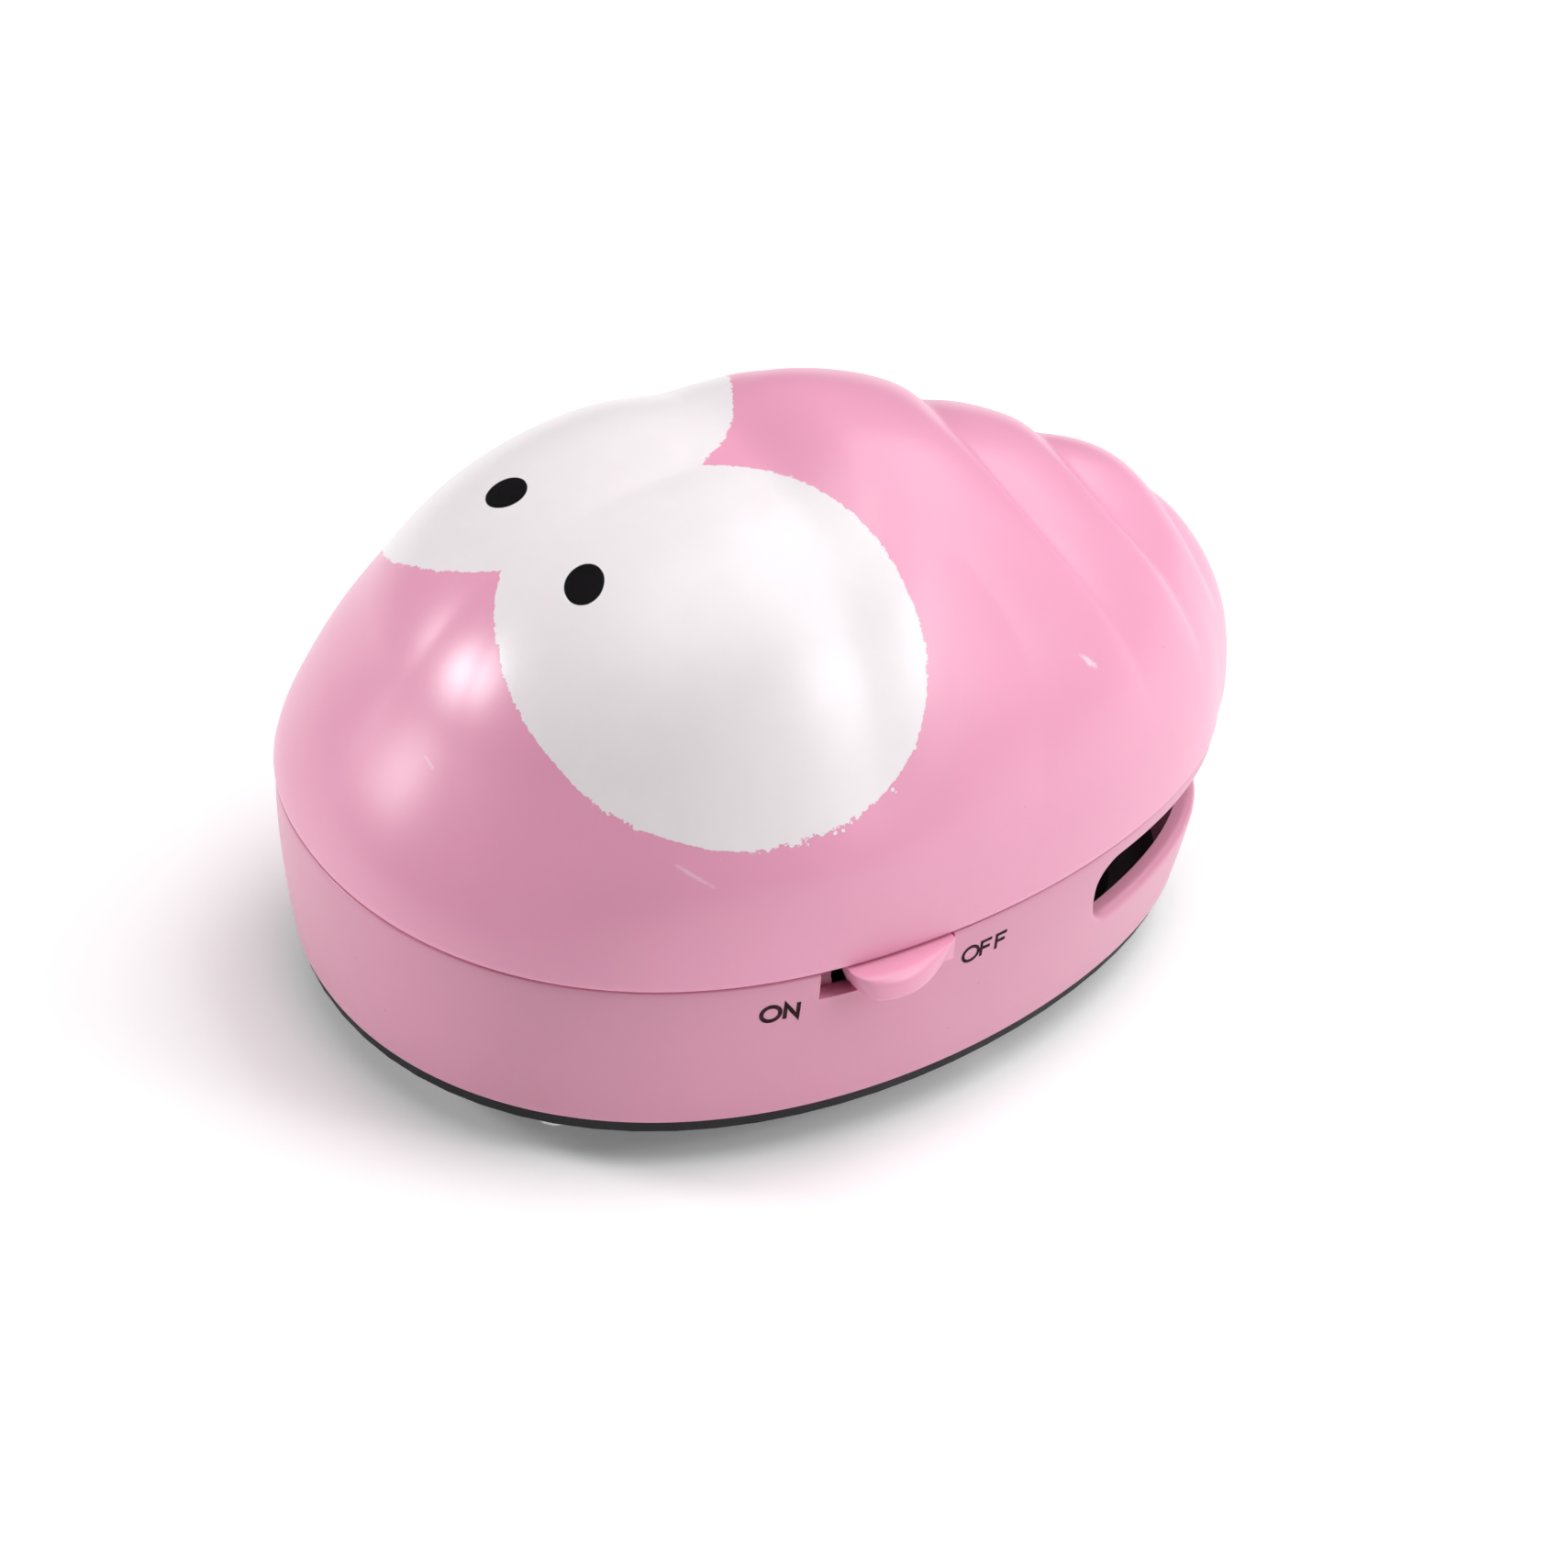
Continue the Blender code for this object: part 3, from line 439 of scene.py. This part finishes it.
def build_dome():
    """The lid: one closed skin with a rounded rim and an inner surface."""
    turn = 2 * np.pi * np.arange(DOME_AROUND) / DOME_AROUND
    lift = np.pi / 2 * np.linspace(0.0, 1.0, DOME_UP + 1)[1:-1]
    rim = dome_points(turn, np.zeros_like(turn))
    out = [rim + [0, 0, dz] for dz in (RIM_ROUND, 0.7, 1.0)]
    body = dome_points(*np.meshgrid(turn, lift))
    keep = body[:, :, 2].min(axis=1) > LID_Z0 + RIM_BAND
    outer = np.array(out + list(body[keep]))
    crown = dome_points(np.array([0.0]), np.array([np.pi / 2]))[0]
    # inner surface: stepped in along the outer normals
    du = np.roll(outer, -1, 1) - np.roll(outer, 1, 1)
    dv = np.gradient(outer, axis=0)
    nrm = np.cross(du, dv)
    nrm /= np.linalg.norm(nrm, axis=-1, keepdims=True)
    inner = (outer - nrm * LID_WALL)[::DOME_INNER_STEP]
    inner[0, :, 2] = LID_Z0 + RIM_ROUND
    inward = nrm[0] * [1, 1, 0]
    inward /= np.linalg.norm(inward, axis=-1, keepdims=True)
    edge = []
    for a in (0.0, 30.0, 60.0, 90.0):
        c, s = math.cos(math.radians(a)), math.sin(math.radians(a))
        edge.append(rim * [1, 1, 0] - inward * RIM_ROUND * (1 - c) + [0, 0, LID_Z0 + RIM_ROUND * (1 - s)])
    edge.append(rim * [1, 1, 0] - inward * RIM_INNER + [0, 0, LID_Z0])
    rows = np.array(list(inner[::-1]) + edge[::-1] + list(outer[1:]))
    verts = rows.reshape(-1, 3)
    faces = grid_faces(len(rows), DOME_AROUND)
    top_in, top_out = len(verts), len(verts) + 1
    verts = np.vstack([verts, crown - [0, 0, LID_WALL], crown])
    last = (len(rows) - 1) * DOME_AROUND
    for i in range(DOME_AROUND):
        k = (i + 1) % DOME_AROUND
        faces.append((k, i, top_in))
        faces.append((last + i, last + k, top_out))
    obj = make_mesh("dome_skin", verts, faces, "lid", ("top_shell",), 50)
    layer = obj.data.attributes.new("eye_edge", "FLOAT", "POINT")
    edge = eye_edge(verts)
    inner_count = len(inner) * DOME_AROUND
    edge[:inner_count] = INNER_SIDE
    edge[-2] = INNER_SIDE
    layer.data.foreach_set("value", edge.astype(np.float32))
    obj.data.materials.append(lid_material())


# Outline of a painted eye: radii in mm every 20 degrees about the eye's own axis
EYE_AXIS = np.array([0.61876, -0.35928, 0.69860])
EYE_AT = np.array([18.4, -17.0, 52.0])
EYE_OUTLINE = (21.8, 21.4, 21.25, 21.6, 22.2, 22.65, 24.0, 25.3, 25.0,
               23.1, 21.3, 20.2, 19.9, 19.8, 20.3, 20.7, 21.5, 22.0)
# Pupil: centre, directions across and up, half sizes
PUPIL_AT = (9.45, -28.55, 59.2)
PUPIL_ACROSS, PUPIL_UP = (0.887, -0.32, -0.34), (0.44, 0.80, 0.40)
PUPIL_SIZE = (2.72, 2.28)


def eye_edge(p):
    """Distance inside the edge of the white eye paint, in mm; negative outside it."""
    e1 = np.cross([0, 0, 1.0], EYE_AXIS)
    e1 /= np.linalg.norm(e1)
    e2 = np.cross(EYE_AXIS, e1)
    q = np.c_[np.abs(p[:, 0]), p[:, 1:]] - EYE_AT
    u, v, h = q @ e1, q @ e2, q @ EYE_AXIS
    angle = np.degrees(np.arctan2(v, u)) % 360 / 20
    k = np.floor(angle).astype(int)
    f = angle - k
    table = np.array(EYE_OUTLINE)
    r0, r1, r2, r3 = (table[(k + d) % 18] for d in (-1, 0, 1, 2))
    r = r1 + 0.5 * f * (r2 - r0 + f * (2 * r0 - 5 * r1 + 4 * r2 - r3 + f * (3 * (r1 - r2) + r3 - r0)))
    return np.where(h > -12, r - np.hypot(u, v), -9.0)


# ------------------------------------------------------------------ tub
# Exhaust slot: angles it covers, share of its length in each round end, heights and depths of its scoop
SLOT_MID, SLOT_HALF, SLOT_ROUND = math.pi / 2, math.radians(61.7), 0.075
SLOT_TOP, SLOT_CENTRE, SLOT_BACK, SLOT_LOW, SLOT_DEPTH, SLOT_ROLL = 23.2, 20.2, 15.2, 14.1, 2.22, 1.2
SLOT_OPEN, SLOT_THIN = 0.35, 0.02                   # least openness of the hole, and of the scoop
TUB_WALL, TUB_INSET, TUB_EDGE = 2.22, 0.12, 0.3     # wall, gap inside the seam outline, edge radius
LIP_OUT, LIP_IN, LIP_TOP = 2.65, 3.8, 26.8
# Switch notch: height of its floor and the angles that it and the cut in the lip cover
NOTCH_Z = 21.9
NOTCH, LIP_CUT = (math.radians(-13.9), math.radians(4.05)), (math.radians(-10.95), math.radians(1.9))
NO_CAP = 99.0


def tub_columns():
    """Angles of the tub's columns, closer together where the slot and the switch notch end."""
    ends = SLOT_HALF * (1 - SLOT_ROUND * (1 - np.cos(np.linspace(0.0, np.pi / 2, 12))))
    steps = [a + d for a in NOTCH + LIP_CUT for d in (-1e-4, 1e-4)]
    even = 2 * np.pi * np.arange(720) / 720
    t = np.sort(np.concatenate([even, SLOT_MID + ends, SLOT_MID - ends, np.array(steps) % (2 * np.pi)]))
    return t[np.r_[True, np.diff(t) > 2e-5]]


def within(t, limits):
    """True for angles between two limits that may be negative."""
    turn = np.where(t > np.pi, t - 2 * np.pi, t)
    return (turn > limits[0]) & (turn < limits[1])


def build_tub():
    """The tub: rows of points from the foot up the outside, over the lip and down the inside."""
    t = tub_columns()
    count = len(t)
    still = np.zeros(count)
    w = np.clip((1 - np.abs(t - SLOT_MID) / SLOT_HALF) / SLOT_ROUND, 0.0, 1.0)
    open_ = np.sqrt(1 - (1 - w) ** 2)
    part = np.maximum(open_, SLOT_THIN)
    top = SLOT_CENTRE + (SLOT_TOP - SLOT_CENTRE) * part
    low = SLOT_CENTRE - (SLOT_CENTRE - SLOT_LOW) * part
    back = SLOT_CENTRE - (SLOT_CENTRE - SLOT_BACK) * part
    depth = SLOT_DEPTH * open_
    outer = []                                      # (inset, height) of each row, from the bottom up
    for a in np.radians((0, 30, 60, 90)):
        outer.append((still + TUB_EDGE * (1 - math.sin(a)), still + TUB_Z0 + TUB_EDGE * (1 - math.cos(a))))
    for k in range(1, 13):
        outer.append((still, TUB_Z0 + TUB_EDGE + (low - TUB_Z0 - TUB_EDGE) * k / 12))
    for a in np.linspace(0.0, np.pi / 2, 13)[1:]:
        outer.append((SLOT_ROLL * open_ * (1 - math.cos(a)), low + (back - low) * math.sin(a)))
    for k in range(1, 4):
        outer.append((SLOT_ROLL * open_ + (depth - SLOT_ROLL * open_) * k / 3, back))
    hole_low = len(outer) - 1
    outer.append((depth, (back + top) / 2))
    outer.append((depth, top))
    hole_high = len(outer) - 1
    for k in range(1, 5):
        outer.append((depth * (1 - k / 4) + 0.2 * open_ * (k == 4), top))
    outer.append((still, top + 0.2))
    for k in range(1, 6):
        outer.append((still, top + 0.2 + (TUB_Z1 - TUB_EDGE - top - 0.2) * k / 5))
    for a in np.radians((30, 60, 90)):
        rise = TUB_Z1 - TUB_EDGE + TUB_EDGE * math.sin(a)
        outer.append((still + TUB_EDGE * (1 - math.cos(a)), still + rise))
    edge = plan_points(t)
    inward = plan_points(t, 1.0, 1.0) - edge
    notch = np.where(within(t, NOTCH), NOTCH_Z, NO_CAP)
    lip_notch = np.where(within(t, LIP_CUT), NOTCH_Z, NO_CAP)

    def row(inset, z, cap):
        z = np.minimum(z, cap)
        scale = tub_scale(np.minimum(z, TUB_Z1))[:, None]
        return np.c_[edge * scale + inward * np.asarray(inset)[:, None], z]

    rows = [row(inset + TUB_INSET, z, notch) for inset, z in outer]
    lip = ((LIP_OUT, TUB_Z1, notch), (LIP_OUT, LIP_TOP, lip_notch), (LIP_IN, LIP_TOP, lip_notch),
           (LIP_IN, TUB_Z1 - 1.0, lip_notch))
    rows += [row(still + inset, still + z, cap) for inset, z, cap in lip]
    n_out, n_in = len(outer), len(outer) - 6
    for inset, z in outer[:n_in][::-1]:
        rows.append(row(still + TUB_WALL + TUB_INSET, z, lip_notch))
    inner = {j: n_out + len(lip) + n_in - 1 - j for j in range(n_in)}
    gap = {(j, i) for j in range(hole_low, hole_high) for i in range(count)
           if open_[i] > SLOT_OPEN and open_[(i + 1) % count] > SLOT_OPEN}
    gap_in = {(inner[j + 1], i) for j, i in gap}
    faces = []
    for j in range(len(rows)):
        jn = (j + 1) % len(rows)
        for i in range(count):
            if (j, i) not in gap and (j, i) not in gap_in:
                k = (i + 1) % count
                faces.append((j * count + i, j * count + k, jn * count + k, jn * count + i))
    for j, i in sorted(gap):                        # side walls of the hole through the wall
        k = (i + 1) % count
        a, b = inner[j] * count, inner[j + 1] * count
        if (j - 1, i) not in gap:
            faces.append((j * count + i, j * count + k, a + k, a + i))
        if (j + 1, i) not in gap:
            faces.append(((j + 1) * count + i, (j + 1) * count + k, b + k, b + i))
        if (j, (i - 1) % count) not in gap:
            faces.append((j * count + i, (j + 1) * count + i, b + i, a + i))
        if (j, k) not in gap:
            faces.append((j * count + k, (j + 1) * count + k, b + k, a + k))
    verts = np.array(rows).reshape(-1, 3)
    obj = make_mesh("tub_skin", verts, faces, "base", ("base_shell",), 42)
    obj.data.materials.append(tub_material())


# ------------------------------------------------------------------ switch tab
KNOB_AT, KNOB_LEN = np.array([39.4, -9.9]), 13.4
WALL_DIR, WALL_OUT = np.array([-0.101, 0.995]), np.array([0.995, 0.101])
KNOB_Z0, KNOB_Z1 = 22.5, 25.2
# Outline of the tab's top: distance along the wall from its ON end, and how far it stands out
TAB = ((0.0, 0.0), (0.06, 1.2), (0.4, 2.1), (1.2, 2.8), (2.5, 3.22), (3.9, 3.38), (5.4, 3.36), (7.2, 3.08),
       (9.0, 2.52), (10.6, 1.82), (12.0, 1.05), (12.9, 0.5), (13.4, 0.0))
TAB_DRAFT = (1.2, 1.7)                              # how much shorter the underside is at the ON and OFF ends
# Edge of the tab from its top to its underside: share of its height, share of its reach
TAB_SECTION = ((0.0, 0.50), (0.01, 0.60), (0.05, 0.70), (0.11, 0.78), (0.20, 0.855), (0.32, 0.915),
               (0.48, 0.96), (0.68, 0.988), (0.88, 1.0), (0.94, 0.985), (0.98, 0.955), (1.0, 0.92))
# Part behind the tub's wall, in the same two distances
TAB_SKIRT = ((13.4, -2.2), (11.0, -2.2), (11.0, -8.0), (3.35, -8.0), (3.35, -2.2), (0.45, -2.2))


def knob_point(along, out, z):
    """Point of the tab by its distance along the wall, its reach and its height."""
    x, y = KNOB_AT + WALL_DIR * along + WALL_OUT * out
    return (x, y, z)


def smooth_line(points, per):
    """Catmull-Rom curve through points, per steps to each span."""
    p = np.array(points, float)
    p = np.vstack([2 * p[0] - p[1], p, 2 * p[-1] - p[-2]])
    out = []
    for k in range(1, len(p) - 2):
        for f in np.arange(per) / per:
            a, b, c, d = p[k - 1:k + 3]
            out.append(b + 0.5 * f * (c - a + f * (2 * a - 5 * b + 4 * c - d + f * (3 * (b - c) + d - a))))
    return np.array(out + [p[-2]])


def build_knob():
    """The switch tab, lofted through its edge section from top to underside."""
    curve = smooth_line(TAB, 5)
    rows = []
    for f, reach in TAB_SECTION:
        squeeze = 1 - (TAB_DRAFT[0] + TAB_DRAFT[1]) * f / KNOB_LEN
        loop = [(a * squeeze + TAB_DRAFT[0] * f, o * reach) for a, o in curve]
        loop += [(KNOB_LEN, -0.15)] + [(max(a, TAB_DRAFT[0] * f), v) for a, v in TAB_SKIRT]
        rows.append([knob_point(a, v, KNOB_Z1 + (KNOB_Z0 - KNOB_Z1) * f) for a, v in loop])
    count = len(rows[0])
    faces = grid_faces(len(rows), count)
    faces.append(tuple(range(count)))
    faces.append(tuple(reversed(range((len(rows) - 1) * count, len(rows) * count))))
    verts = np.array(rows).reshape(-1, 3)
    obj = make_mesh("knob_skin", verts, faces, "switch", ("switch_knob",), 50)
    n = Nodes("knob_abs")
    colour, rough = moulded(n, PINK)
    n.set(colour=colour, rough=n.math("ADD", rough, 0.03), normal=n.bump(n.noise(900.0), 0.000004, 0.5),
          sss=0.12, **ABS_SCATTER)
    obj.data.materials.append(n.mat)


# ------------------------------------------------------------------ letters, bristles, pleats
# Strokes of each letter in half heights, and its width against its height
LETTERS = {
    "O": ([[(1.0 * math.cos(a), 1.0 * math.sin(a)) for a in np.linspace(0, 2 * math.pi, 33)]], 2.3),
    "N": ([[(-0.8, -1.0), (-0.8, 1.0), (0.8, -1.0), (0.8, 1.0)]], 2.0),
    "F": ([[(-0.75, -1.0), (-0.75, 1.0), (0.85, 1.0)], [(-0.75, 0.08), (0.62, 0.08)]], 1.9),
}
# Word, middle along the wall, height above the table, half height of a letter, half stroke, pitch
TEXTS = (("ON", -17.15, 21.2, 0.96, 0.235, 2.36), ("OFF", 8.55, 21.4, 0.93, 0.185, 2.12))
INK_LIFT, INK_ROOT, LETTER_WIDE, STROKE_STEP = 0.035, -0.10, 0.46, 0.9


def wall_point(y, z, lift):
    """Point on the near side wall of the tub at a given y and height, lifted off it."""
    k = tub_scale(z)
    t = np.array([math.asin(y / (HALF_LENGTH * k))])
    edge = plan_points(t)[0]
    p = edge * k + (plan_points(t, 1.0, 1.0)[0] - edge) * (TUB_INSET - lift)
    return (p[0], p[1], z)


def stroke_sides(line, half):
    """Left and right edges of a stroke of constant width along a line of points."""
    pts = [np.array(q, float) for q in line]
    closed = np.allclose(pts[0], pts[-1], atol=1e-6)
    sides = []
    for k, q in enumerate(pts):
        before = pts[k - 1] if k else (pts[-2] if closed else None)
        after = pts[k + 1] if k < len(pts) - 1 else (pts[1] if closed else None)
        ways = [b - a for a, b in ((before, q), (q, after)) if a is not None and b is not None]
        ways = [w / np.linalg.norm(w) for w in ways]
        n1 = np.array([-ways[0][1], ways[0][0]])
        n2 = np.array([-ways[-1][1], ways[-1][0]])
        m = n1 + n2
        m = m / max(m @ m, 0.5) * 2
        sides.append((q + m * half, q - m * half))
    return sides


def build_letters():
    """ON and OFF as thin strips of ink that follow the tub's wall."""
    verts, faces = [], []
    for word, y0, z0, tall, half, pitch in TEXTS:
        for k, char in enumerate(word):
            lines, wide = LETTERS[char]
            middle = y0 + (k - (len(word) - 1) / 2) * pitch
            for line in lines:
                corners = [(u * wide * LETTER_WIDE, v * tall) for u, v in line]
                dense = []
                for (au, av), (bu, bv) in zip(corners[:-1], corners[1:]):
                    parts = max(1, int(np.hypot(bu - au, bv - av) / STROKE_STEP))
                    dense += [(au + (bu - au) * i / parts, av + (bv - av) * i / parts) for i in range(parts)]
                dense.append(corners[-1])
                start = len(verts)
                sides = stroke_sides(dense, half)
                for left, right in sides:
                    for u, v in (left, right):
                        verts.append(wall_point(middle + u, z0 + v, INK_LIFT))
                    for u, v in (left, right):
                        verts.append(wall_point(middle + u, z0 + v, INK_ROOT))
                for i in range(len(sides) - 1):
                    a, b = start + 4 * i, start + 4 * i + 4
                    for c, d in ((0, 1), (1, 3), (3, 2), (2, 0)):
                        faces.append((a + c, a + d, b + d, b + c))
                for a in (start, start + 4 * (len(sides) - 1)):
                    faces.append((a, a + 1, a + 3, a + 2))
    obj = make_mesh("switch_lettering", verts, faces, "base", (), 30)
    n = Nodes("pad_print_ink")
    ink = n.ramp(n.noise(1300.0, 2.0), 0.35, 0.62)
    n.set(colour=n.mix(ink, (0.045, 0.014, 0.020), (0.018, 0.006, 0.009)), spec=0.15,
          rough=n.ramp(ink, 0.0, 1.0, 0.7, 0.9), normal=n.bump(n.noise(2500.0), 0.000005, 0.6))
    obj.data.materials.append(n.mat)


FAN_Y, PLEATS, PLEAT_DEPTH, CLOTH_THICK = 22.4, 40, 1.5, 0.55
CONE = ((27.9, 20.4), (33.0, 18.9), (38.0, 17.1), (43.0, 14.7), (47.0, 11.6))     # height, outer radius
BRUSHES = (("brush_front", -43.4), ("brush_rear", -32.6))
BRUSH_HALF, BRUSH_TOP, BRUSH_ROOT, BRUSH_TIP, TUFT_PITCH, BRISTLES = 10.5, 4.7, 2.9, 0.3, 1.3, 11
BRISTLE_ROOT_R, BRISTLE_TIP_R = 0.075, 0.05


def build_cone():
    """Filter cloth folded into pleats, as one closed skin."""
    a = 2 * np.pi * np.arange(PLEATS * 10) / (PLEATS * 10)
    fold = (0.5 - 0.5 * np.cos(PLEATS * a)) ** 0.7
    heights = np.linspace(CONE[0][0], CONE[-1][0], 22)
    radii = np.interp(heights, *np.array(CONE).T)
    rows = []
    for z, r in list(zip(heights, radii)) + list(zip(heights[::-1], radii[::-1] - CLOTH_THICK)):
        share = min(max((z - CONE[0][0]) / (CONE[-1][0] - CONE[0][0]), 0.06), 0.94)
        deep = PLEAT_DEPTH * r / CONE[0][1] * (0.35 + 0.65 * math.sin(math.pi * share) ** 0.5)
        reach = r - deep * fold
        rows.append(np.c_[reach * np.cos(a), FAN_Y + reach * np.sin(a), np.full(len(a), z)])
    rows.append(rows[0])
    count = len(a)
    faces = [tuple(k % ((len(rows) - 1) * count) for k in face) for face in grid_faces(len(rows), count)]
    verts = np.array(rows[:-1]).reshape(-1, 3)
    obj = make_mesh("filter_pleats", verts, faces, "filter", ("filter_cone",))
    obj.data.materials.append(cloth_material())


def build_brush(name, y):
    """Two rows of nylon tufts standing in a chamfered backing strip."""
    rng = np.random.default_rng(int(abs(y) * 10))
    section = ((-1.0, BRUSH_ROOT + 0.2), (-0.8, BRUSH_ROOT), (0.8, BRUSH_ROOT), (1.0, BRUSH_ROOT + 0.2),
               (1.0, BRUSH_TOP - 0.2), (0.8, BRUSH_TOP), (-0.8, BRUSH_TOP), (-1.0, BRUSH_TOP - 0.2))
    ends = ((-BRUSH_HALF, 0.9), (-BRUSH_HALF + 0.2, 1.0), (BRUSH_HALF - 0.2, 1.0), (BRUSH_HALF, 0.9))
    verts = [(x, y + v * k, w) for x, k in ends for v, w in section]
    faces = grid_faces(4, 8) + [tuple(range(8)), tuple(reversed(range(24, 32)))]
    for x in np.arange(-BRUSH_HALF + 0.8, BRUSH_HALF - 0.5, TUFT_PITCH):
        for row in (-0.42, 0.42):
            for _ in range(BRISTLES):
                spread = rng.uniform(-1.0, 1.0, 2)
                lean = rng.uniform(-0.18, 0.18, 2)
                foot = np.array([x + 0.34 * spread[0], y + row + 0.26 * spread[1]])
                tip = foot + [0.22 * spread[0] + lean[0], 0.12 * spread[1]]
                start = len(verts)
                rings = ((foot, BRUSH_ROOT + 0.1, BRISTLE_ROOT_R),
                         (tip, BRUSH_TIP + 0.25 * abs(lean[1]), BRISTLE_TIP_R))
                for centre, z, r in rings:
                    for a in (0.5, 2.6, 4.7):
                        verts.append((centre[0] + r * math.cos(a), centre[1] + r * math.sin(a), z))
                for i, k in ((0, 1), (1, 2), (2, 0)):
                    faces.append((start + i, start + k, start + 3 + k, start + 3 + i))
                faces += [(start, start + 1, start + 2), (start + 5, start + 4, start + 3)]
    obj = make_mesh(name + "_tufts", verts, faces, "base", (name,), 30)
    obj.data.materials.append(nylon_material())


# ------------------------------------------------------------------ scene
FLOOR_HALF, FLOOR_GLOW, WORLD_GLOW = 6.0, 0.16, 0.035
AIM = (0.0, 0.0, 0.03)
# Name, direction, distance, width, height and power of each lamp
LIGHTS = (("left_softbox", (-0.545, -0.79, 0.35), 0.80, 0.20, 0.12, 2.7),
          ("right_softbox", (0.60, 0.64, 0.47), 0.80, 0.46, 0.40, 1.4),
          ("right_spot", (0.64, 0.56, 0.53), 0.80, 0.12, 0.12, 0.5),
          ("overhead_rear", (0.05, 0.55, 0.83), 0.95, 1.10, 0.90, 7.2),
          ("overhead_front", (0.10, -0.10, 0.99), 0.95, 0.80, 0.80, 4.0))


def build_stage():
    """Pale floor and a faint even surround."""
    bm = bmesh.new()
    bmesh.ops.create_grid(bm, x_segments=1, y_segments=1, size=FLOOR_HALF)
    mesh = bpy.data.meshes.new("floor")
    bm.to_mesh(mesh)
    bm.free()
    floor = bpy.data.objects.new("floor", mesh)
    bpy.context.scene.collection.objects.link(floor)
    n = Nodes("pale_floor")
    n.set(colour=n.mix(n.noise(3.0), (0.93, 0.93, 0.93), (0.95, 0.95, 0.95)), rough=0.6)
    n.shader.inputs["Emission Color"].default_value = (1.0, 1.0, 1.0, 1.0)
    n.shader.inputs["Emission Strength"].default_value = FLOOR_GLOW
    mesh.materials.append(n.mat)
    world = bpy.data.worlds.new("studio")
    bpy.context.scene.world = world
    world.use_nodes = True
    background = world.node_tree.nodes["Background"]
    background.inputs["Color"].default_value = (1.0, 1.0, 1.0, 1.0)
    background.inputs["Strength"].default_value = WORLD_GLOW


def area_light(name, way, far, wide, tall, power):
    at = Vector(AIM) + Vector(way).normalized() * far
    data = bpy.data.lights.new(name, "AREA")
    data.shape = "RECTANGLE"
    data.size = wide
    data.size_y = tall
    data.energy = power
    obj = bpy.data.objects.new(name, data)
    bpy.context.scene.collection.objects.link(obj)
    obj.location = at
    obj.rotation_euler = (Vector(AIM) - at).to_track_quat("-Z", "Y").to_euler()


# Camera: direction and roll, distance and offset in mm, focal length in pixels of the 1709 pixel frame
AZ, EL, ROLL, DIST = math.radians(59.955), math.radians(34.0), math.radians(5.315), 803.885
CX, CY, FOCAL = 1.829, -7.168, 8000.0
FRAME_WIDE, SENSOR, FIT = 1709, 36.0, 0.99          # FIT turns the camera's own scale into that of the object
AIM_UP, CAMERA_SHIFT = 25.0, (-1.66, -1.19, 5.207)


def build_camera():
    back = Vector((math.sin(AZ) * math.cos(EL), -math.cos(AZ) * math.cos(EL), math.sin(EL)))
    right = Vector((math.cos(AZ), math.sin(AZ), 0.0))
    up = right.cross(-back)
    r = right * math.cos(ROLL) + up * math.sin(ROLL)
    u = right * -math.sin(ROLL) + up * math.cos(ROLL)
    place = (back * DIST + Vector((0, 0, AIM_UP)) + r * CX + u * CY) * FIT + Vector(CAMERA_SHIFT)
    data = bpy.data.cameras.new("camera")
    data.sensor_width = SENSOR
    data.lens = FOCAL / FRAME_WIDE * SENSOR
    data.clip_start, data.clip_end = 0.05, 30.0
    cam = bpy.data.objects.new("camera", data)
    bpy.context.scene.collection.objects.link(cam)
    m = Matrix((r, u, back)).transposed().to_4x4()
    m.translation = place * MM
    cam.matrix_world = m
    bpy.context.scene.camera = cam


build_dome()
build_tub()
build_knob()
build_letters()
build_cone()
for brush, brush_y in BRUSHES:
    build_brush(brush, brush_y)

# Carried CAD nodes: a material by slot and slightly softened edges
REPLACED = {"top_shell", "base_shell", "switch_knob", "filter_cone", "brush_front", "brush_rear"}
EDGE_WIDTH, EDGE_STEPS, EDGE_ANGLE = 0.00012, 2, math.radians(40)
BY_SLOT = {"white_abs": plain_plastic("white_abs", (0.76, 0.755, 0.735), 0.34, 0.46, 900.0, 0.00002),
           "black_abs": plain_plastic("black_abs", (0.012, 0.012, 0.014), 0.50, 0.62),
           "steel": metal("plated_steel", (0.60, 0.61, 0.63), 0.20, 0.36),
           "brass": metal("brass_strip", (0.78, 0.57, 0.25), 0.22, 0.38, (0.0, 1.2, 0.3)),
           "foam_rubber": foam_material()}
slots = {s["node"]: s["material_slot"] for s in frame["record"]["subparts"]}
for name, node in frame["nodes"].items():
    if name in REPLACED:
        continue
    node.data.materials.clear()
    node.data.materials.append(cell_material(node) if slots[name] == "cell_sleeve" else BY_SLOT[slots[name]])
    soft = node.modifiers.new("soft_edges", "BEVEL")
    soft.width = EDGE_WIDTH
    soft.segments = EDGE_STEPS
    soft.limit_method = "ANGLE"
    soft.angle_limit = EDGE_ANGLE

build_stage()
build_camera()
bpy.context.scene.view_settings.view_transform = "Standard"
for lamp in LIGHTS:
    area_light(*lamp)
